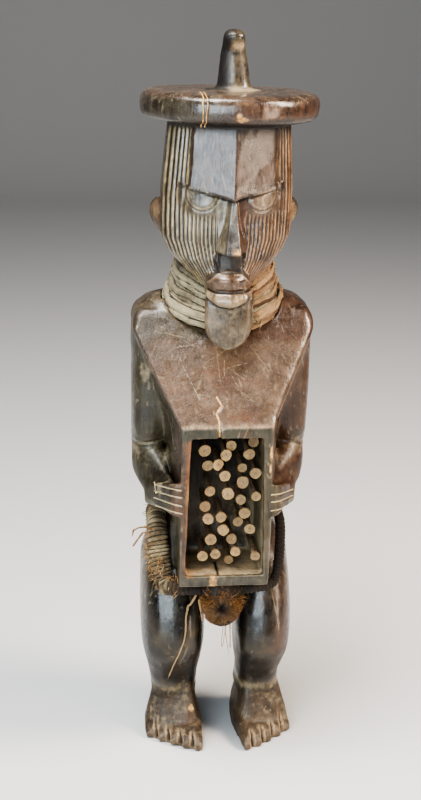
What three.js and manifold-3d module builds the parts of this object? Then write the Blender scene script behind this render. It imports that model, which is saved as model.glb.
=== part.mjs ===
import * as THREE from 'three';
import { mergeVertices } from 'three/addons/utils/BufferGeometryUtils.js';
import Module from 'manifold-3d';

// Standing figure carved from one piece of wood, with an open box of pegs at the belly.
// Millimetres, +Z up, the face towards -Y. The soles stand on z = 0.

const wasm = await Module();
wasm.setup();

// Driving dimensions
const totalHeight = 663;
const lean = 12;                // the head leans this far to +X at the full height
const touchGap = 0.3;           // air between two pieces that touch
const stand = { x: -5, y: 7 };  // brings the foot of the bounding box's centre line to the origin

const hat = { radius: 80, bottom: 586, top: 610, round: 5, tiltDeg: 1.2, sides: 28 };
const knob = { base: 604, top: totalHeight, halfWidth: 16, halfDepth: 17, curl: 13, baseShift: 3.5 };
const face = { brow: 523, eyeLine: 517, noseTip: 480, mouth: 447, noseOut: 87 };
const ridges = { first: 0.2, step: 0.0298, count: 27, height: 0.5, depth: 1.2 };
const beard = { top: 443, bottom: 394, halfWidth: 21.5, front: 77, thick: 15 };
const ear = { x: 60, y: 4, z: 498, thick: 7.5, halfHeight: 20, halfDepth: 11 };
const box = { halfWidth: 40, front: 95, top: 329, bottom: 181, flare: 1, flareBack: 40 };
const mouth = { top: 320, bottom: 191, halfTop: 31.5, halfBottom: 35, back: 35 };
const shoulder = { halfWidth: 82, chestEdge: 405, chestFront: 40 };
const arm = { x: 64.5, halfWidth: 16.5 };
const finger = { count: 4, top: 273, pitch: 7.4, thick: 6.5, tip: 94, fall: 0.3 };
const foot = {
  left: -39.5, right: 42, turnLeft: 0.02, turnRight: 0.13, inner: 70, slant: 27, heel: 30,
  toes: 5, toeWidth: 5, toeHigh: 6,
};
const peg = { shaft: 2.9, flare: 7, sides: 7 };
const wrap = { top: 472, inner: 34, steps: 16, drop: 18, height: 45 };
const belt = { sides: 6, steps: 26, thin: 5, thick: 9.4 };

const colour = {
  wood: 0x2b1a11, cloth: 0x6b5538, cord: 0x4a3020, fibre: 0x7a4a22, peg: 0x8a6a48,
};

// Solids: vertices are merged, faces point out
const isLevel = 1e-6;

function volumeOf(position, index) {
  const [a, b, c] = [new THREE.Vector3(), new THREE.Vector3(), new THREE.Vector3()];
  let sum = 0;
  for (let i = 0; i < index.count; i += 3) {
    a.fromBufferAttribute(position, index.getX(i));
    b.fromBufferAttribute(position, index.getX(i + 1));
    c.fromBufferAttribute(position, index.getX(i + 2));
    sum += a.dot(b.cross(c)) / 6;
  }
  return sum;
}

function closed(geometry) {
  geometry.deleteAttribute('normal');
  geometry.deleteAttribute('uv');
  const merged = mergeVertices(geometry, 1e-4);
  const corners = merged.index.array;
  const kept = [];
  for (let i = 0; i < corners.length; i += 3) {
    const [a, b, c] = corners.slice(i, i + 3);
    if (a !== b && b !== c && c !== a) kept.push(a, b, c);
  }
  merged.setIndex(kept);
  if (volumeOf(merged.attributes.position, merged.index) < 0) {
    const turned = merged.index.array;
    for (let i = 0; i < turned.length; i += 3) {
      [turned[i + 1], turned[i + 2]] = [turned[i + 2], turned[i + 1]];
    }
  }
  return merged;
}

function solid(geometry) {
  const merged = closed(geometry);
  return new wasm.Manifold(new wasm.Mesh({
    numProp: 3,
    vertProperties: new Float32Array(merged.attributes.position.array),
    triVerts: new Uint32Array(merged.index.array),
  }));
}

function joined(solids) {
  return solids.reduce((whole, next) => whole.add(next));
}

function geometryOf(body) {
  const mesh = body.getMesh();
  const geometry = new THREE.BufferGeometry();
  geometry.setAttribute('position', new THREE.BufferAttribute(new Float32Array(mesh.vertProperties), 3));
  geometry.setIndex(new THREE.BufferAttribute(new Uint32Array(mesh.triVerts), 1));
  return geometry;
}

// A loft through rings of points, from the highest ring to the lowest. Each ring starts at the
// front and runs towards +X. A straight cylinder's vertices are moved onto the rings.
function loft(rings) {
  const sides = rings[0].length;
  const steps = rings.length - 1;
  const geometry = new THREE.CylinderGeometry(1, 1, 1, sides, steps);
  const position = geometry.attributes.position;
  const v = new THREE.Vector3();
  for (let i = 0; i < position.count; i++) {
    v.fromBufferAttribute(position, i);
    const ring = rings[Math.round((0.5 - v.y) * steps)];
    if (Math.hypot(v.x, v.z) < isLevel) {
      const middle = ring.reduce((sum, p) => sum.add(p), new THREE.Vector3()).divideScalar(sides);
      position.setXYZ(i, middle.x, middle.y, middle.z);
    } else {
      const turn = Math.atan2(v.x, v.z) / (2 * Math.PI);
      const point = ring[(Math.round(turn * sides) + sides) % sides];
      position.setXYZ(i, point.x, point.y, point.z);
    }
  }
  return solid(geometry);
}

// One point of a rounded section: w half-width, f and b its reach to the front and the back,
// y where it is widest, n its squareness (2 is an ellipse)
function sectionPoint(section, angle) {
  const power = 2 / (section.n ?? 2.4);
  const across = Math.sin(angle);
  const along = -Math.cos(angle);
  const widest = section.y ?? (section.b - section.f) / 2;
  const reach = along < 0 ? section.f + widest : section.b - widest;
  return new THREE.Vector3(
    (section.x ?? 0) + Math.sign(across) * Math.abs(across) ** power * section.w,
    widest + Math.sign(along) * Math.abs(along) ** power * reach,
    section.z,
  );
}

function sectionRing(section, sides) {
  return Array.from({ length: sides }, (_, i) => sectionPoint(section, (i / sides) * 2 * Math.PI));
}

function stack(sections, sides) {
  return loft(sections.map((section) => sectionRing(section, sides)));
}

// An upright section, for limbs that run forwards: centre x and z, half-width w, half-height h
function uprightRing({ x, y, z, w, h, n = 2.6 }, sides) {
  const power = 2 / n;
  return Array.from({ length: sides }, (_, i) => {
    const angle = (i / sides) * 2 * Math.PI;
    const across = Math.sin(angle);
    const up = -Math.cos(angle);
    return new THREE.Vector3(
      x + Math.sign(across) * Math.abs(across) ** power * w,
      y,
      z + Math.sign(up) * Math.abs(up) ** power * h,
    );
  });
}

function polygonRing(z, corners) {
  return corners.map(([x, y]) => new THREE.Vector3(x, y, z));
}

function mirrored(make) {
  return joined([make(1), make(-1)]);
}

// Head. The face is carved in upright ridges that draw together towards the mouth: each ring
// has a point on every ridge and in every groove, at a fixed share of the ring's half-width.
const headSections = [
  { z: 600, w: 53, f: 60, b: 57 },
  { z: 526, w: 58.3, f: 64, b: 61 },
  { z: 507, w: 58.5, f: 64, b: 58 },
  { z: 487, w: 57.5, f: 65, b: 54 },
  { z: 472, w: 51, f: 65.5, b: 48 },
  { z: 459, w: 39, f: 65.5, b: 40 },
  { z: 437, w: 20, f: 58, b: 27 },
];

function headRing(section) {
  const { z, w, f, b } = section;
  const n = 2.4;
  const backAngles = [84, 100, 122, 148].map(THREE.MathUtils.degToRad);
  const half = [];
  for (let i = 0; i < ridges.count; i++) {
    const share = ridges.first + ridges.step * i;
    const atEye = z > face.eyeLine - 14 && z < face.brow + 4 && share < 0.7;
    const relief = atEye ? 0 : (i % 2 ? -ridges.depth : ridges.height);
    const x = share * w;
    const y = -f * (1 - share ** n) ** (1 / n);
    const outward = new THREE.Vector3(x / w ** 2, y / f ** 2, 0).normalize().multiplyScalar(relief);
    half.push(new THREE.Vector3(x, y, z).add(outward));
  }
  backAngles.forEach((angle) => half.push(sectionPoint({ z, w, f, b, y: 0, n }, angle)));
  const otherHalf = half.map((p) => new THREE.Vector3(-p.x, p.y, z)).reverse();
  return [new THREE.Vector3(0, -f, z), ...half, new THREE.Vector3(0, b, z), ...otherHalf];
}

function head() {
  return loft(headSections.map(headRing));
}

// Two flat planes that meet in a ridge and end below in a V over the nose
function forehead() {
  const rows = [
    { z: 598, edge: 35, edgeOut: 55, ridge: 67 },
    { z: 560, edge: 36, edgeOut: 57.5, ridge: 72 },
    { z: 532, edge: 38, edgeOut: 59, ridge: 76 },
  ];
  const back = 20;
  const rings = rows.map(({ z, edge, edgeOut, ridge }) => polygonRing(z, [
    [0, -ridge], [edge, -edgeOut], [edge, -back], [-edge, -back], [-edge, -edgeOut],
  ]));
  const vee = polygonRing(face.brow - 3, [
    [0, -76], [38, -59], [38, -back], [-38, -back], [-38, -59],
  ]);
  vee.forEach((point) => { point.z += Math.abs(point.x) * 0.29; });
  return loft([...rings, vee]);
}

function eye(side) {
  const lid = new THREE.SphereGeometry(1, 8, 4);
  lid.scale(16, 5, 12);
  lid.rotateZ(side * 0.38);
  lid.translate(side * 24.5, -57, face.eyeLine + 1);
  return solid(lid);
}

function nose() {
  const rows = [
    { z: 524, w: 3, ridge: 2, out: 74 },
    { z: 505, w: 6, ridge: 3.5, out: 78 },
    { z: 489, w: 10.5, ridge: 5.5, out: 84 },
    { z: face.noseTip, w: 11.5, ridge: 6.5, out: face.noseOut },
    { z: face.noseTip - 3, w: 10, ridge: 5, out: face.noseOut - 5 },
  ];
  return loft(rows.map(({ z, w, ridge, out }) => polygonRing(z, [
    [-ridge, -out], [ridge, -out], [w, -62], [w, -40], [-w, -40], [-w, -62],
  ])));
}

function lips() {
  const philtrum = { z: 484, w: 13, f: 69, b: 30, y: -30, n: 5 };
  const upper = [
    philtrum,
    { z: 466, w: 13.5, f: 71, b: 30, y: -30, n: 5 },
    { z: 463, w: 17, f: 76, b: 30, y: -30, n: 3 },
    { z: 455, w: 19.5, f: 80, b: 30, y: -30, n: 2.8 },
    { z: face.mouth + 1.5, w: 20, f: 79, b: 30, y: -30, n: 2.8 },
    { z: face.mouth - 0.5, w: 19, f: 74, b: 30, y: -30, n: 2.8 },
  ];
  const lower = [
    { z: face.mouth + 0.5, w: 19.5, f: 74, b: 30, y: -30, n: 3.6 },
    { z: face.mouth - 2, w: 20.5, f: 82, b: 30, y: -30, n: 3.8 },
    { z: face.mouth - 8, w: 20, f: 85, b: 30, y: -30, n: 3.4 },
    { z: face.mouth - 13, w: 17, f: 83, b: 30, y: -30, n: 2.8 },
    { z: face.mouth - 16.5, w: 11, f: 78, b: 30, y: -30, n: 2.4 },
  ];
  return [stack(upper, 12), stack(lower, 12)];
}

// The beard is a flat tongue that hangs in front of the neck
function beardTongue() {
  const rows = 7;
  const length = beard.top - beard.bottom;
  const rings = Array.from({ length: rows }, (_, i) => {
    const t = i / (rows - 1);
    const drop = 1 - (1 - t) ** 1.7;
    const rounding = Math.sqrt(Math.max(1 - Math.max((drop - 0.5) / 0.5, 0) ** 2.2, 0.01));
    const w = beard.halfWidth * rounding;
    const out = beard.front - 3 * (1 - t);
    const half = beard.thick / 2 * (0.55 + 0.45 * rounding);
    return sectionRing({ z: beard.top - drop * length, w, f: half, b: half, n: 3 }, 12)
      .map((point) => point.setY(point.y - (out - beard.thick / 2)));
  });
  return loft(rings);
}

function earShell(side) {
  const shell = new THREE.SphereGeometry(1, 8, 6);
  shell.scale(ear.thick, ear.halfDepth, ear.halfHeight);
  shell.rotateX(-0.25);
  shell.rotateZ(side * -0.35);
  shell.translate(side * ear.x, ear.y, ear.z);
  return solid(shell);
}

// Hat and knob
function hatDisc() {
  const { radius, bottom, top, round, sides } = hat;
  const profile = [
    [0, bottom], [radius - round, bottom], [radius - 1.2, bottom + round * 0.7],
    [radius, top - round * 1.6], [radius - round * 0.5, top - round * 0.3],
    [radius - round * 1.6, top + 0.3], [0, top + 1],
  ].map(([r, z]) => new THREE.Vector2(r, z));
  const disc = new THREE.LatheGeometry(profile, sides);
  disc.rotateX(Math.PI / 2);
  disc.translate(0, 0, -bottom);
  disc.rotateY(THREE.MathUtils.degToRad(hat.tiltDeg));
  disc.translate(0, 0, bottom);
  return solid(disc);
}

function hatKnob() {
  const rise = knob.top - knob.base;
  const rows = [
    [1, 4, 3], [0.985, 7.5, 6], [0.93, 10, 8.5], [0.84, 11, 9.5], [0.76, 11, 9], [0.68, 11.6, 10.5],
    [0.45, 13.2, 13], [0.2, 15, 16], [0, knob.halfWidth, knob.halfDepth],
  ];
  const rings = rows.map(([t, w, depth]) => {
    const hook = Math.sin(THREE.MathUtils.clamp((t - 0.7) / 0.22, 0, 1) * Math.PI / 2);
    const forward = t > 0.7 ? knob.curl * (0.35 + 0.65 * hook) : 4.5 * t;
    const settle = t > 0.93 ? (t - 0.93) * 60 : 0;
    const x = knob.baseShift * (1 - t);
    return sectionRing({ z: knob.base + rise * t, x, w, f: depth, b: depth, n: 2.6 }, 10)
      .map((point) => point.setY(point.y - forward + settle));
  });
  return loft(rings);
}

// Neck, trunk and box
function neck() {
  return stack([
    { z: 478, w: wrap.inner - 1, f: 34, b: 33, n: 2 },
    { z: 410, w: wrap.inner - 1, f: 34, b: 33, n: 2 },
  ], 14);
}

function yoke() {
  const w = shoulder.halfWidth;
  return stack([
    { z: 433, w: 46, f: 14, b: 24, n: 3 },
    { z: 427, w: 70, f: 25, b: 31, n: 3.4 },
    { z: 419, w: w - 3, f: 32, b: 35, n: 4 },
    { z: 408, w, f: 36, b: 38, n: 4.2 },
    { z: 385, w: w + 0.5, f: 37, b: 39, n: 4 },
    { z: 362, w: w - 1, f: 34, b: 35, n: 3.6 },
  ], 20);
}

// The chest slopes out to the top edge of the box, and the box runs down from there
function chestAndBox() {
  const { halfWidth, front, flare, flareBack } = box;
  const corners = (half, ahead, mid, midFront, back) => [
    [0, -ahead], [half, -ahead], [mid, -midFront], [mid, back],
    [-mid, back], [-mid, -midFront], [-half, -ahead],
  ];
  return loft([
    polygonRing(421, corners(70, 27, 76, 24, 20)),
    polygonRing(415, corners(77, 32.5, 80, 30, 24)),
    polygonRing(shoulder.chestEdge, corners(81, shoulder.chestFront, 82, 34, 25)),
    polygonRing(367, corners(60.5, 67.5, 66, 39, 28)),
    polygonRing(box.top, corners(halfWidth, front, 51, 42, 28)),
    polygonRing(box.bottom, corners(halfWidth, front, halfWidth + flare, flareBack, 20)),
  ]);
}

function boxCavity() {
  const ring = (y, grow) => [
    [0, mouth.bottom - grow], [mouth.halfBottom + grow, mouth.bottom - grow],
    [mouth.halfTop + grow, mouth.top + grow], [-mouth.halfTop - grow, mouth.top + grow],
    [-mouth.halfBottom - grow, mouth.bottom - grow],
  ].map(([x, z]) => new THREE.Vector3(x, y, z));
  return loft([ring(-mouth.back, -1), ring(-box.front, 0), ring(-box.front - 5, 0)]);
}

function trunk() {
  return stack([
    { z: 420, w: 66, f: 20, b: 39, n: 3 },
    { z: 385, w: 66, f: 20, b: 44, n: 3 },
    { z: 335, w: 56, f: 20, b: 41, n: 2.8 },
    { z: 285, w: 51, f: 20, b: 36, n: 2.6 },
    { z: 240, w: 50, f: 30, b: 37, n: 2.6 },
    { z: 216, w: 54, f: 42, b: 43, n: 2.6 },
    { z: 198, w: 65, f: 46, b: 51, n: 2.8 },
    { z: 180, w: 71, f: 46, b: 57, n: 2.9 },
    { z: 160, w: 71, f: 40, b: 55, n: 2.9 },
    { z: 143, w: 64, f: 30, b: 44, n: 2.8 },
  ], 16);
}

function spineGroove() {
  const row = (z, w, y, depth) => polygonRing(z, [[0, y - depth], [w, y + 6], [-w, y + 6]]);
  return loft([
    row(432, 3, 37, 0.5), row(395, 7, 42, 3.5), row(335, 8, 39, 4),
    row(270, 7, 34, 3), row(228, 3, 39, 0.5),
  ]);
}

function seatGroove() {
  const row = (z, w, y, depth) => polygonRing(z, [[0, y - depth], [w, y + 8], [-w, y + 8]]);
  return loft([
    row(204, 2, 50, 0.5), row(186, 9, 55, 6), row(165, 12, 55, 10),
    row(146, 12, 48, 13), row(138, 12, 44, 14),
  ]);
}

// Arms: straight down to the elbow, forwards to the hand that holds the box's side
function upperArm(side) {
  const { x, halfWidth } = arm;
  return stack([
    { z: 400, w: halfWidth, f: 37, b: 27 },
    { z: 350, w: halfWidth + 0.5, f: 40, b: 28 },
    { z: 305, w: halfWidth - 0.5, f: 38, b: 25 },
    { z: 284, w: halfWidth - 1, f: 22, b: 23 },
    { z: 270, w: halfWidth - 2.5, f: 14, b: 19 },
    { z: 263, w: halfWidth - 7, f: 8, b: 11 },
  ].map((section) => ({ ...section, x: side * x, n: 3.4 })), 14);
}

function forearm(side) {
  const rows = [
    { y: 16, x: 65, z: 281, w: 9, h: 10 },
    { y: 6, x: 65, z: 280, w: 14, h: 17 },
    { y: -14, x: 65, z: 277, w: 16, h: 21.5 },
    { y: -34, x: 61.5, z: 272.5, w: 14.5, h: 22.5 },
    { y: -48, x: 54, z: 263, w: 7, h: 20 },
    { y: -56, x: 51, z: 261, w: 5, h: 17.5 },
    { y: -84, x: 43, z: 259, w: 3, h: 13 },
  ];
  return loft(rows.map((row) => uprightRing({ ...row, x: side * row.x }, 12)));
}

function fingers(side) {
  return Array.from({ length: finger.count }, (_, i) => {
    const z = finger.top - i * finger.pitch;
    const row = (y, x, w) => uprightRing({
      x: side * x, y, z: z - (finger.tip + y) * finger.fall, w, h: finger.thick / 2, n: 2.8,
    }, 5);
    return loft([
      row(-50, 57, 6),
      row(-finger.tip + 4, 44, 4.6),
      row(-finger.tip - 1, 41, 2.4),
    ]);
  });
}

// Legs, bent at the knee. The +X leg is a little slimmer and stands further out.
function legShape(side) {
  const apart = side > 0 ? 3 : 0;
  const rows = [
    { z: 188, x: 40, w: 27, f: 38, b: 44 },
    { z: 164, x: 41.5, w: 29.5, f: 51, b: 48 },
    { z: 138, x: 41, w: 31, f: 61, b: 41 },
    { z: 112, x: 41, w: 30.5, f: 68, b: 30 },
    { z: 95, x: 41, w: 29.5, f: 66, b: 26.5 },
    { z: 79, x: 40, w: 27, f: 54, b: 27 },
    { z: 62, x: 39.5, w: 23.5, f: 42, b: 25 },
    { z: 39, x: 38.5, w: 21.7, f: 34.5, b: 22.5 },
  ];
  return stack(rows.map((row) => {
    const slimmer = row.z > 60 ? apart : 0;
    return { ...row, x: side * (row.x + apart), w: row.w - slimmer, n: 2.7 };
  }), 14);
}

// The foot is a sole with five toes; it turns out a little
function footShape(side) {
  const turnOut = side * (side > 0 ? foot.turnRight : foot.turnLeft);
  const centre = side > 0 ? foot.right : foot.left;
  const widestAt = -32;
  const rows = [
    { z: 46, w: 21, f: 33, b: 20 },
    { z: 33, w: 24, f: 37, b: 26 },
    { z: 20, w: 27.5, f: 42, b: foot.heel },
    { z: 9, w: 28.5, f: 49, b: foot.heel },
    { z: 0, w: 28, f: 52, b: foot.heel - 1 },
  ];
  const placed = (point) => {
    const turned = point.clone().setX(side * point.x).applyAxisAngle(new THREE.Vector3(0, 0, 1), turnOut);
    return turned.setX(turned.x + centre);
  };
  const rings = rows.map((row) => sectionRing({ ...row, y: -20, n: 2.8 }, 16).map((point) => {
    const inner = -point.x / row.w;
    const heelward = Math.max(point.y - widestAt, 0) / (row.b - widestAt);
    const slanted = point.y - inner * 10 * Math.max(-point.y / row.f, 0) ** 2;
    return placed(point.set(point.x * (1 - 0.26 * heelward) - 1.5 * heelward, slanted, point.z));
  }));
  const toes = Array.from({ length: foot.toes }, (_, i) => {
    const outward = i / (foot.toes - 1);
    const x = -22.5 + outward * 45.5;
    const out = foot.inner - foot.slant * outward ** 1.3;
    const w = foot.toeWidth - outward * 0.4;
    const high = foot.toeHigh - outward * 0.8;
    const row = (y, across, up) => (
      uprightRing({ x, y, z: up, w: w * across, h: up, n: 2.6 }, 6).map(placed)
    );
    return loft([
      row(-out + 30, 1, high * 1.8),
      row(-out + 7, 1, high * 1.05),
      row(-out, 0.75, high * 0.7),
    ]);
  });
  return joined([loft(rings), ...toes]);
}

// Soft rings: a torus whose vertices are moved onto a route round the figure. The turn starts at
// the front and runs towards +X, and the outline gives each side's reach outwards and upwards.
function ringAlong(route, outline, steps) {
  const sides = outline(0).length;
  const geometry = new THREE.TorusGeometry(10, 1, sides, steps);
  const position = geometry.attributes.position;
  const perLoop = steps + 1;
  for (let i = 0; i < position.count; i++) {
    const turn = ((i % perLoop) / steps) % 1;
    const [outwards, upwards] = outline(turn)[Math.floor(i / perLoop) % sides];
    const ahead = route((turn + 0.004) % 1).sub(route((turn + 0.996) % 1)).normalize();
    const out = ahead.clone().cross(new THREE.Vector3(0, 0, 1)).normalize();
    const up = out.clone().cross(ahead).normalize();
    const point = route(turn).addScaledVector(out, outwards).addScaledVector(up, upwards);
    position.setXYZ(i, point.x, point.y, point.z);
  }
  return solid(geometry);
}

const frontness = (turn) => 0.5 + 0.5 * Math.cos(turn * 2 * Math.PI);

// The neck wrap is one wound collar with a bulge for each roll, lower at the front
function neckWrap(grow = 0) {
  const bulges = [
    [0, -1], [0, -0.03], [0.4, 0], [0.5, -0.25],
    [0.68, -0.42], [0.62, -0.6], [1.02, -0.75], [0.98, -0.93], [0.5, -1],
  ];
  const outline = (turn) => bulges.map(([out, up], i) => {
    const height = wrap.height * (1 + 0.1 * frontness(turn));
    const reach = out * (19.5 + 1.2 * Math.sin(turn * 6 * Math.PI + i * 0.8));
    const end = up > -0.1 ? grow : up < -0.9 ? -grow : 0;
    return [out ? reach + grow : -grow, up * height + end];
  });
  const route = (turn) => sectionPoint({
    z: wrap.top - wrap.drop * frontness(turn) ** 2, w: wrap.inner, f: wrap.inner + 1, b: wrap.inner, n: 2,
  }, turn * 2 * Math.PI);
  return ringAlong(route, outline, wrap.steps);
}

// The belt is thick at the -X hip and thin elsewhere. It runs level round the back, drops
// steeply beside the box and passes under the box's front.
function beltRoute(turn) {
  const drop = THREE.MathUtils.smoothstep(frontness(turn), 0.44, 0.82);
  return sectionPoint({ z: 224 - 54 * drop, w: 57.5, f: 78, b: 43, y: -34, n: 2.7 }, turn * 2 * Math.PI);
}

function hipBelt(grow = 0) {
  const outline = (turn) => {
    const thickness = Math.exp(-(((turn - 0.79) / 0.11) ** 4));
    const radius = THREE.MathUtils.lerp(belt.thin, belt.thick, thickness) + grow;
    return Array.from({ length: belt.sides }, (_, i) => {
      const around = (i / belt.sides) * 2 * Math.PI;
      return [Math.cos(around) * radius, Math.sin(around) * radius];
    });
  };
  return ringAlong(beltRoute, outline, belt.steps);
}

function fibreTuft() {
  const rows = [
    { z: 180, w: 15.5, f: 9, b: 9 },
    { z: 172, w: 19, f: 13, b: 10 },
    { z: 160, w: 18.5, f: 14, b: 10 },
    { z: 148, w: 17.5, f: 13, b: 10 },
    { z: 140, w: 14, f: 11, b: 9 },
    { z: 135, w: 7, f: 7, b: 6 },
  ];
  const centreOut = 78;
  const rings = rows.map((row, level) => sectionRing({ ...row, n: 2.2 }, 14).map((point, i) => {
    const lock = 1 + 0.07 * (i % 2 ? 1 : -1) * Math.min(level, 1);
    return point.set(point.x * lock + 0.5, point.y * lock - centreOut, point.z);
  }));
  return loft(rings).subtract(hipBelt(touchGap));
}

// Pegs: x, z, head radius and how far the head's face stands towards the front
const pegPlaces = [
  [-16, 305, 6.0, 82], [8, 307, 5.0, 75], [28, 310, 5.2, 75], [2.6, 301.5, 5.3, 84], [23, 302, 5.5, 85],
  [-4.3, 292.8, 5.3, 86], [-13, 290, 5.3, 79], [18, 287, 4.7, 78], [29, 284, 5.4, 85], [2, 281, 5.3, 82],
  [18, 275, 5.7, 82], [-11, 266, 5.1, 80], [5, 264, 6.0, 82], [17, 257, 5.0, 78], [30, 262, 4.7, 85],
  [-15, 251, 5.3, 78], [-13, 242, 5.2, 86], [-1, 242, 5.3, 82], [20, 246, 5.6, 84], [15, 235, 4.9, 76],
  [1, 230, 5.4, 83], [25, 230, 5.2, 82], [-10, 220, 5.6, 80], [9, 219, 5.2, 78], [12, 210, 4.9, 86],
  [30, 205, 4.7, 85], [-17, 204, 5.2, 80], [-6, 208, 4.9, 86], [7, 198, 4.5, 75],
];

function pegShape(headRadius, front) {
  const shaftBack = -mouth.back - touchGap;
  const profile = [
    [0, -front], [headRadius, -front], [peg.shaft, -front + peg.flare],
    [peg.shaft, shaftBack], [0, shaftBack],
  ].map(([r, y]) => new THREE.Vector2(r, y));
  return closed(new THREE.LatheGeometry(profile, peg.sides));
}

// The lean grows with the square of the height, so the soles and the box stay upright
function leaned(geometry) {
  const position = geometry.attributes.position;
  for (let i = 0; i < position.count; i++) {
    position.setX(i, position.getX(i) + lean * (position.getZ(i) / totalHeight) ** 2);
  }
  return geometry;
}

function figure() {
  const body = joined([
    head(), forehead(), nose(), ...lips(), beardTongue(), mirrored(earShell), mirrored(eye),
    hatDisc(), hatKnob(), neck(), yoke(), chestAndBox(), trunk(),
    mirrored(upperArm), mirrored(forearm), ...fingers(1), ...fingers(-1),
    mirrored(legShape), mirrored(footShape),
  ]);
  return [boxCavity(), spineGroove(), seatGroove(), neckWrap(touchGap), hipBelt(touchGap)]
    .reduce((carved, tool) => carved.subtract(tool), body);
}

function material(color, roughness) {
  return new THREE.MeshStandardMaterial({ color, roughness, metalness: 0 });
}

function named(name, geometry, look) {
  const mesh = new THREE.Mesh(geometry, look);
  mesh.name = name;
  return mesh;
}

const group = new THREE.Group();
group.add(named('figure', leaned(geometryOf(figure())), material(colour.wood, 0.45)));
group.add(named('neck_wrap', leaned(geometryOf(neckWrap())), material(colour.cloth, 0.9)));
group.add(named('hip_belt', leaned(geometryOf(hipBelt())), material(colour.cord, 0.85)));
group.add(named('fibre_tuft', leaned(geometryOf(fibreTuft())), material(colour.fibre, 0.95)));
pegPlaces.forEach(([x, z, headRadius, front], i) => {
  const name = `peg_${String(i + 1).padStart(2, '0')}`;
  const mesh = named(name, pegShape(headRadius, front), material(colour.peg, 0.7));
  mesh.position.set(x, 0, z);
  group.add(mesh);
});
group.position.set(stand.x, stand.y, 0);

export default group;
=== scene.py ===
import itertools
import math
import bpy
import numpy as np
from mathutils import Matrix, Vector
from mathutils.bvhtree import BVHTree
from mathutils.kdtree import KDTree


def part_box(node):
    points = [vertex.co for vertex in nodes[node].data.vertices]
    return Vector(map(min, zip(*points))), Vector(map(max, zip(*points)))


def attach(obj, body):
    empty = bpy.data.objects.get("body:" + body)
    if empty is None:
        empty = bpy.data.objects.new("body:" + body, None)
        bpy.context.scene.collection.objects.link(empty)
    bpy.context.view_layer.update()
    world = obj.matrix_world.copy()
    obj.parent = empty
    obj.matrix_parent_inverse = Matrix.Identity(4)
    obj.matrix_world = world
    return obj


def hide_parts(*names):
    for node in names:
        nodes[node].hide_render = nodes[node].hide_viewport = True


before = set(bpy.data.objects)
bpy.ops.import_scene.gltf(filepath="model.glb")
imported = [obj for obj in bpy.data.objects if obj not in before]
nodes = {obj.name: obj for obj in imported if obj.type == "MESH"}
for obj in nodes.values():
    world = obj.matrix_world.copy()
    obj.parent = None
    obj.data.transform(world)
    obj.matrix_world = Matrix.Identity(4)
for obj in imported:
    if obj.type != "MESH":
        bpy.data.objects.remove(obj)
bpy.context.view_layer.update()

# A carved wooden figure with a ridged face and a box of pegs. The CAD nodes give every size.
# Lengths in the dictionaries are millimetres, measured on the carving as it stood upright on
# the bench: the finished figure leans a little to one side, see upright().
dice = np.random.default_rng(7)
stand = {"side": -5.0, "depth": 7.0, "lean": 12.0, "height": 663.0}
print("frame loaded", len(nodes), "nodes")


# Small tools
def only(obj):
    bpy.ops.object.select_all(action="DESELECT")
    obj.select_set(True)
    bpy.context.view_layer.objects.active = obj
    return obj


def applied(obj, kind, **values):
    only(obj)
    modifier = obj.modifiers.new(kind.lower(), kind)
    for name, value in values.items():
        setattr(modifier, name, value)
    bpy.ops.object.modifier_apply(modifier=modifier.name)
    return obj


def freeze(obj):
    # place, turn and size go into the mesh
    only(obj)
    bpy.ops.object.transform_apply(location=True, rotation=True, scale=True)
    return obj


def edited(obj, *steps):
    # each step is an edit-mode operator and its values, run on the whole mesh
    only(obj)
    bpy.ops.object.mode_set(mode="EDIT")
    for operator, values in steps:
        bpy.ops.mesh.select_all(action="SELECT")
        operator(**values)
    bpy.ops.object.mode_set(mode="OBJECT")
    return obj


facesOut = (bpy.ops.mesh.normals_make_consistent, {"inside": False})


def sliced(obj, axis, places):
    # cuts across the mesh, so that it can be bent
    way = Vector([float(number == axis) for number in range(3)])
    cuts = [(bpy.ops.mesh.bisect, {"plane_co": way * place, "plane_no": way}) for place in places]
    return edited(obj, *cuts)


def smooth(obj):
    only(obj)
    bpy.ops.object.shade_smooth()
    return obj


def merged(obj, distance):
    return edited(obj, (bpy.ops.mesh.remove_doubles, {"threshold": distance}))


def copyOfNode(node, name):
    obj = nodes[node].copy()
    obj.data = nodes[node].data.copy()
    obj.name = name
    obj.data.name = name
    obj.parent = None
    obj.data.materials.clear()
    bpy.context.collection.objects.link(obj)
    return merged(obj, 0.00002)


def joinAs(name, parts):
    bpy.ops.object.select_all(action="DESELECT")
    for part in parts:
        part.select_set(True)
    bpy.context.view_layer.objects.active = parts[0]
    bpy.ops.object.join()
    parts[0].name = name
    parts[0].data.name = name
    return parts[0]


def readAll(items, what, width, kind=float):
    flat = np.empty(len(items) * width, dtype=kind)
    items.foreach_get(what, flat)
    return flat.reshape(-1, width)


def readPoints(mesh, what="co"):
    return readAll(mesh.vertices, what, 3)


def readEdges(mesh):
    return readAll(mesh.edges, "vertices", 2, np.int64)


def writePoints(mesh, points):
    mesh.vertices.foreach_set("co", np.asarray(points, dtype=float).ravel())
    mesh.update()


def upright(points):
    # world metres to bench millimetres
    bench = np.asarray(points, dtype=float) * 1000.0
    bench = bench - np.array([stand["side"], stand["depth"], 0.0])
    bench[..., 0] -= stand["lean"] * (bench[..., 2] / stand["height"]) ** 2
    return bench


def leaning(points):
    # bench millimetres to world metres
    world = np.array(points, dtype=float)
    world[..., 0] += stand["lean"] * (world[..., 2] / stand["height"]) ** 2
    return (world + np.array([stand["side"], stand["depth"], 0.0])) / 1000.0


def ramp(value, low, high):
    share = np.clip((value - low) / (high - low), 0.0, 1.0)
    return share * share * (3.0 - 2.0 * share)


def near(value, middle, width):
    # 1 at the middle, falling to 0 on both sides
    return np.exp(-((value - middle) / width) ** 2)


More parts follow.
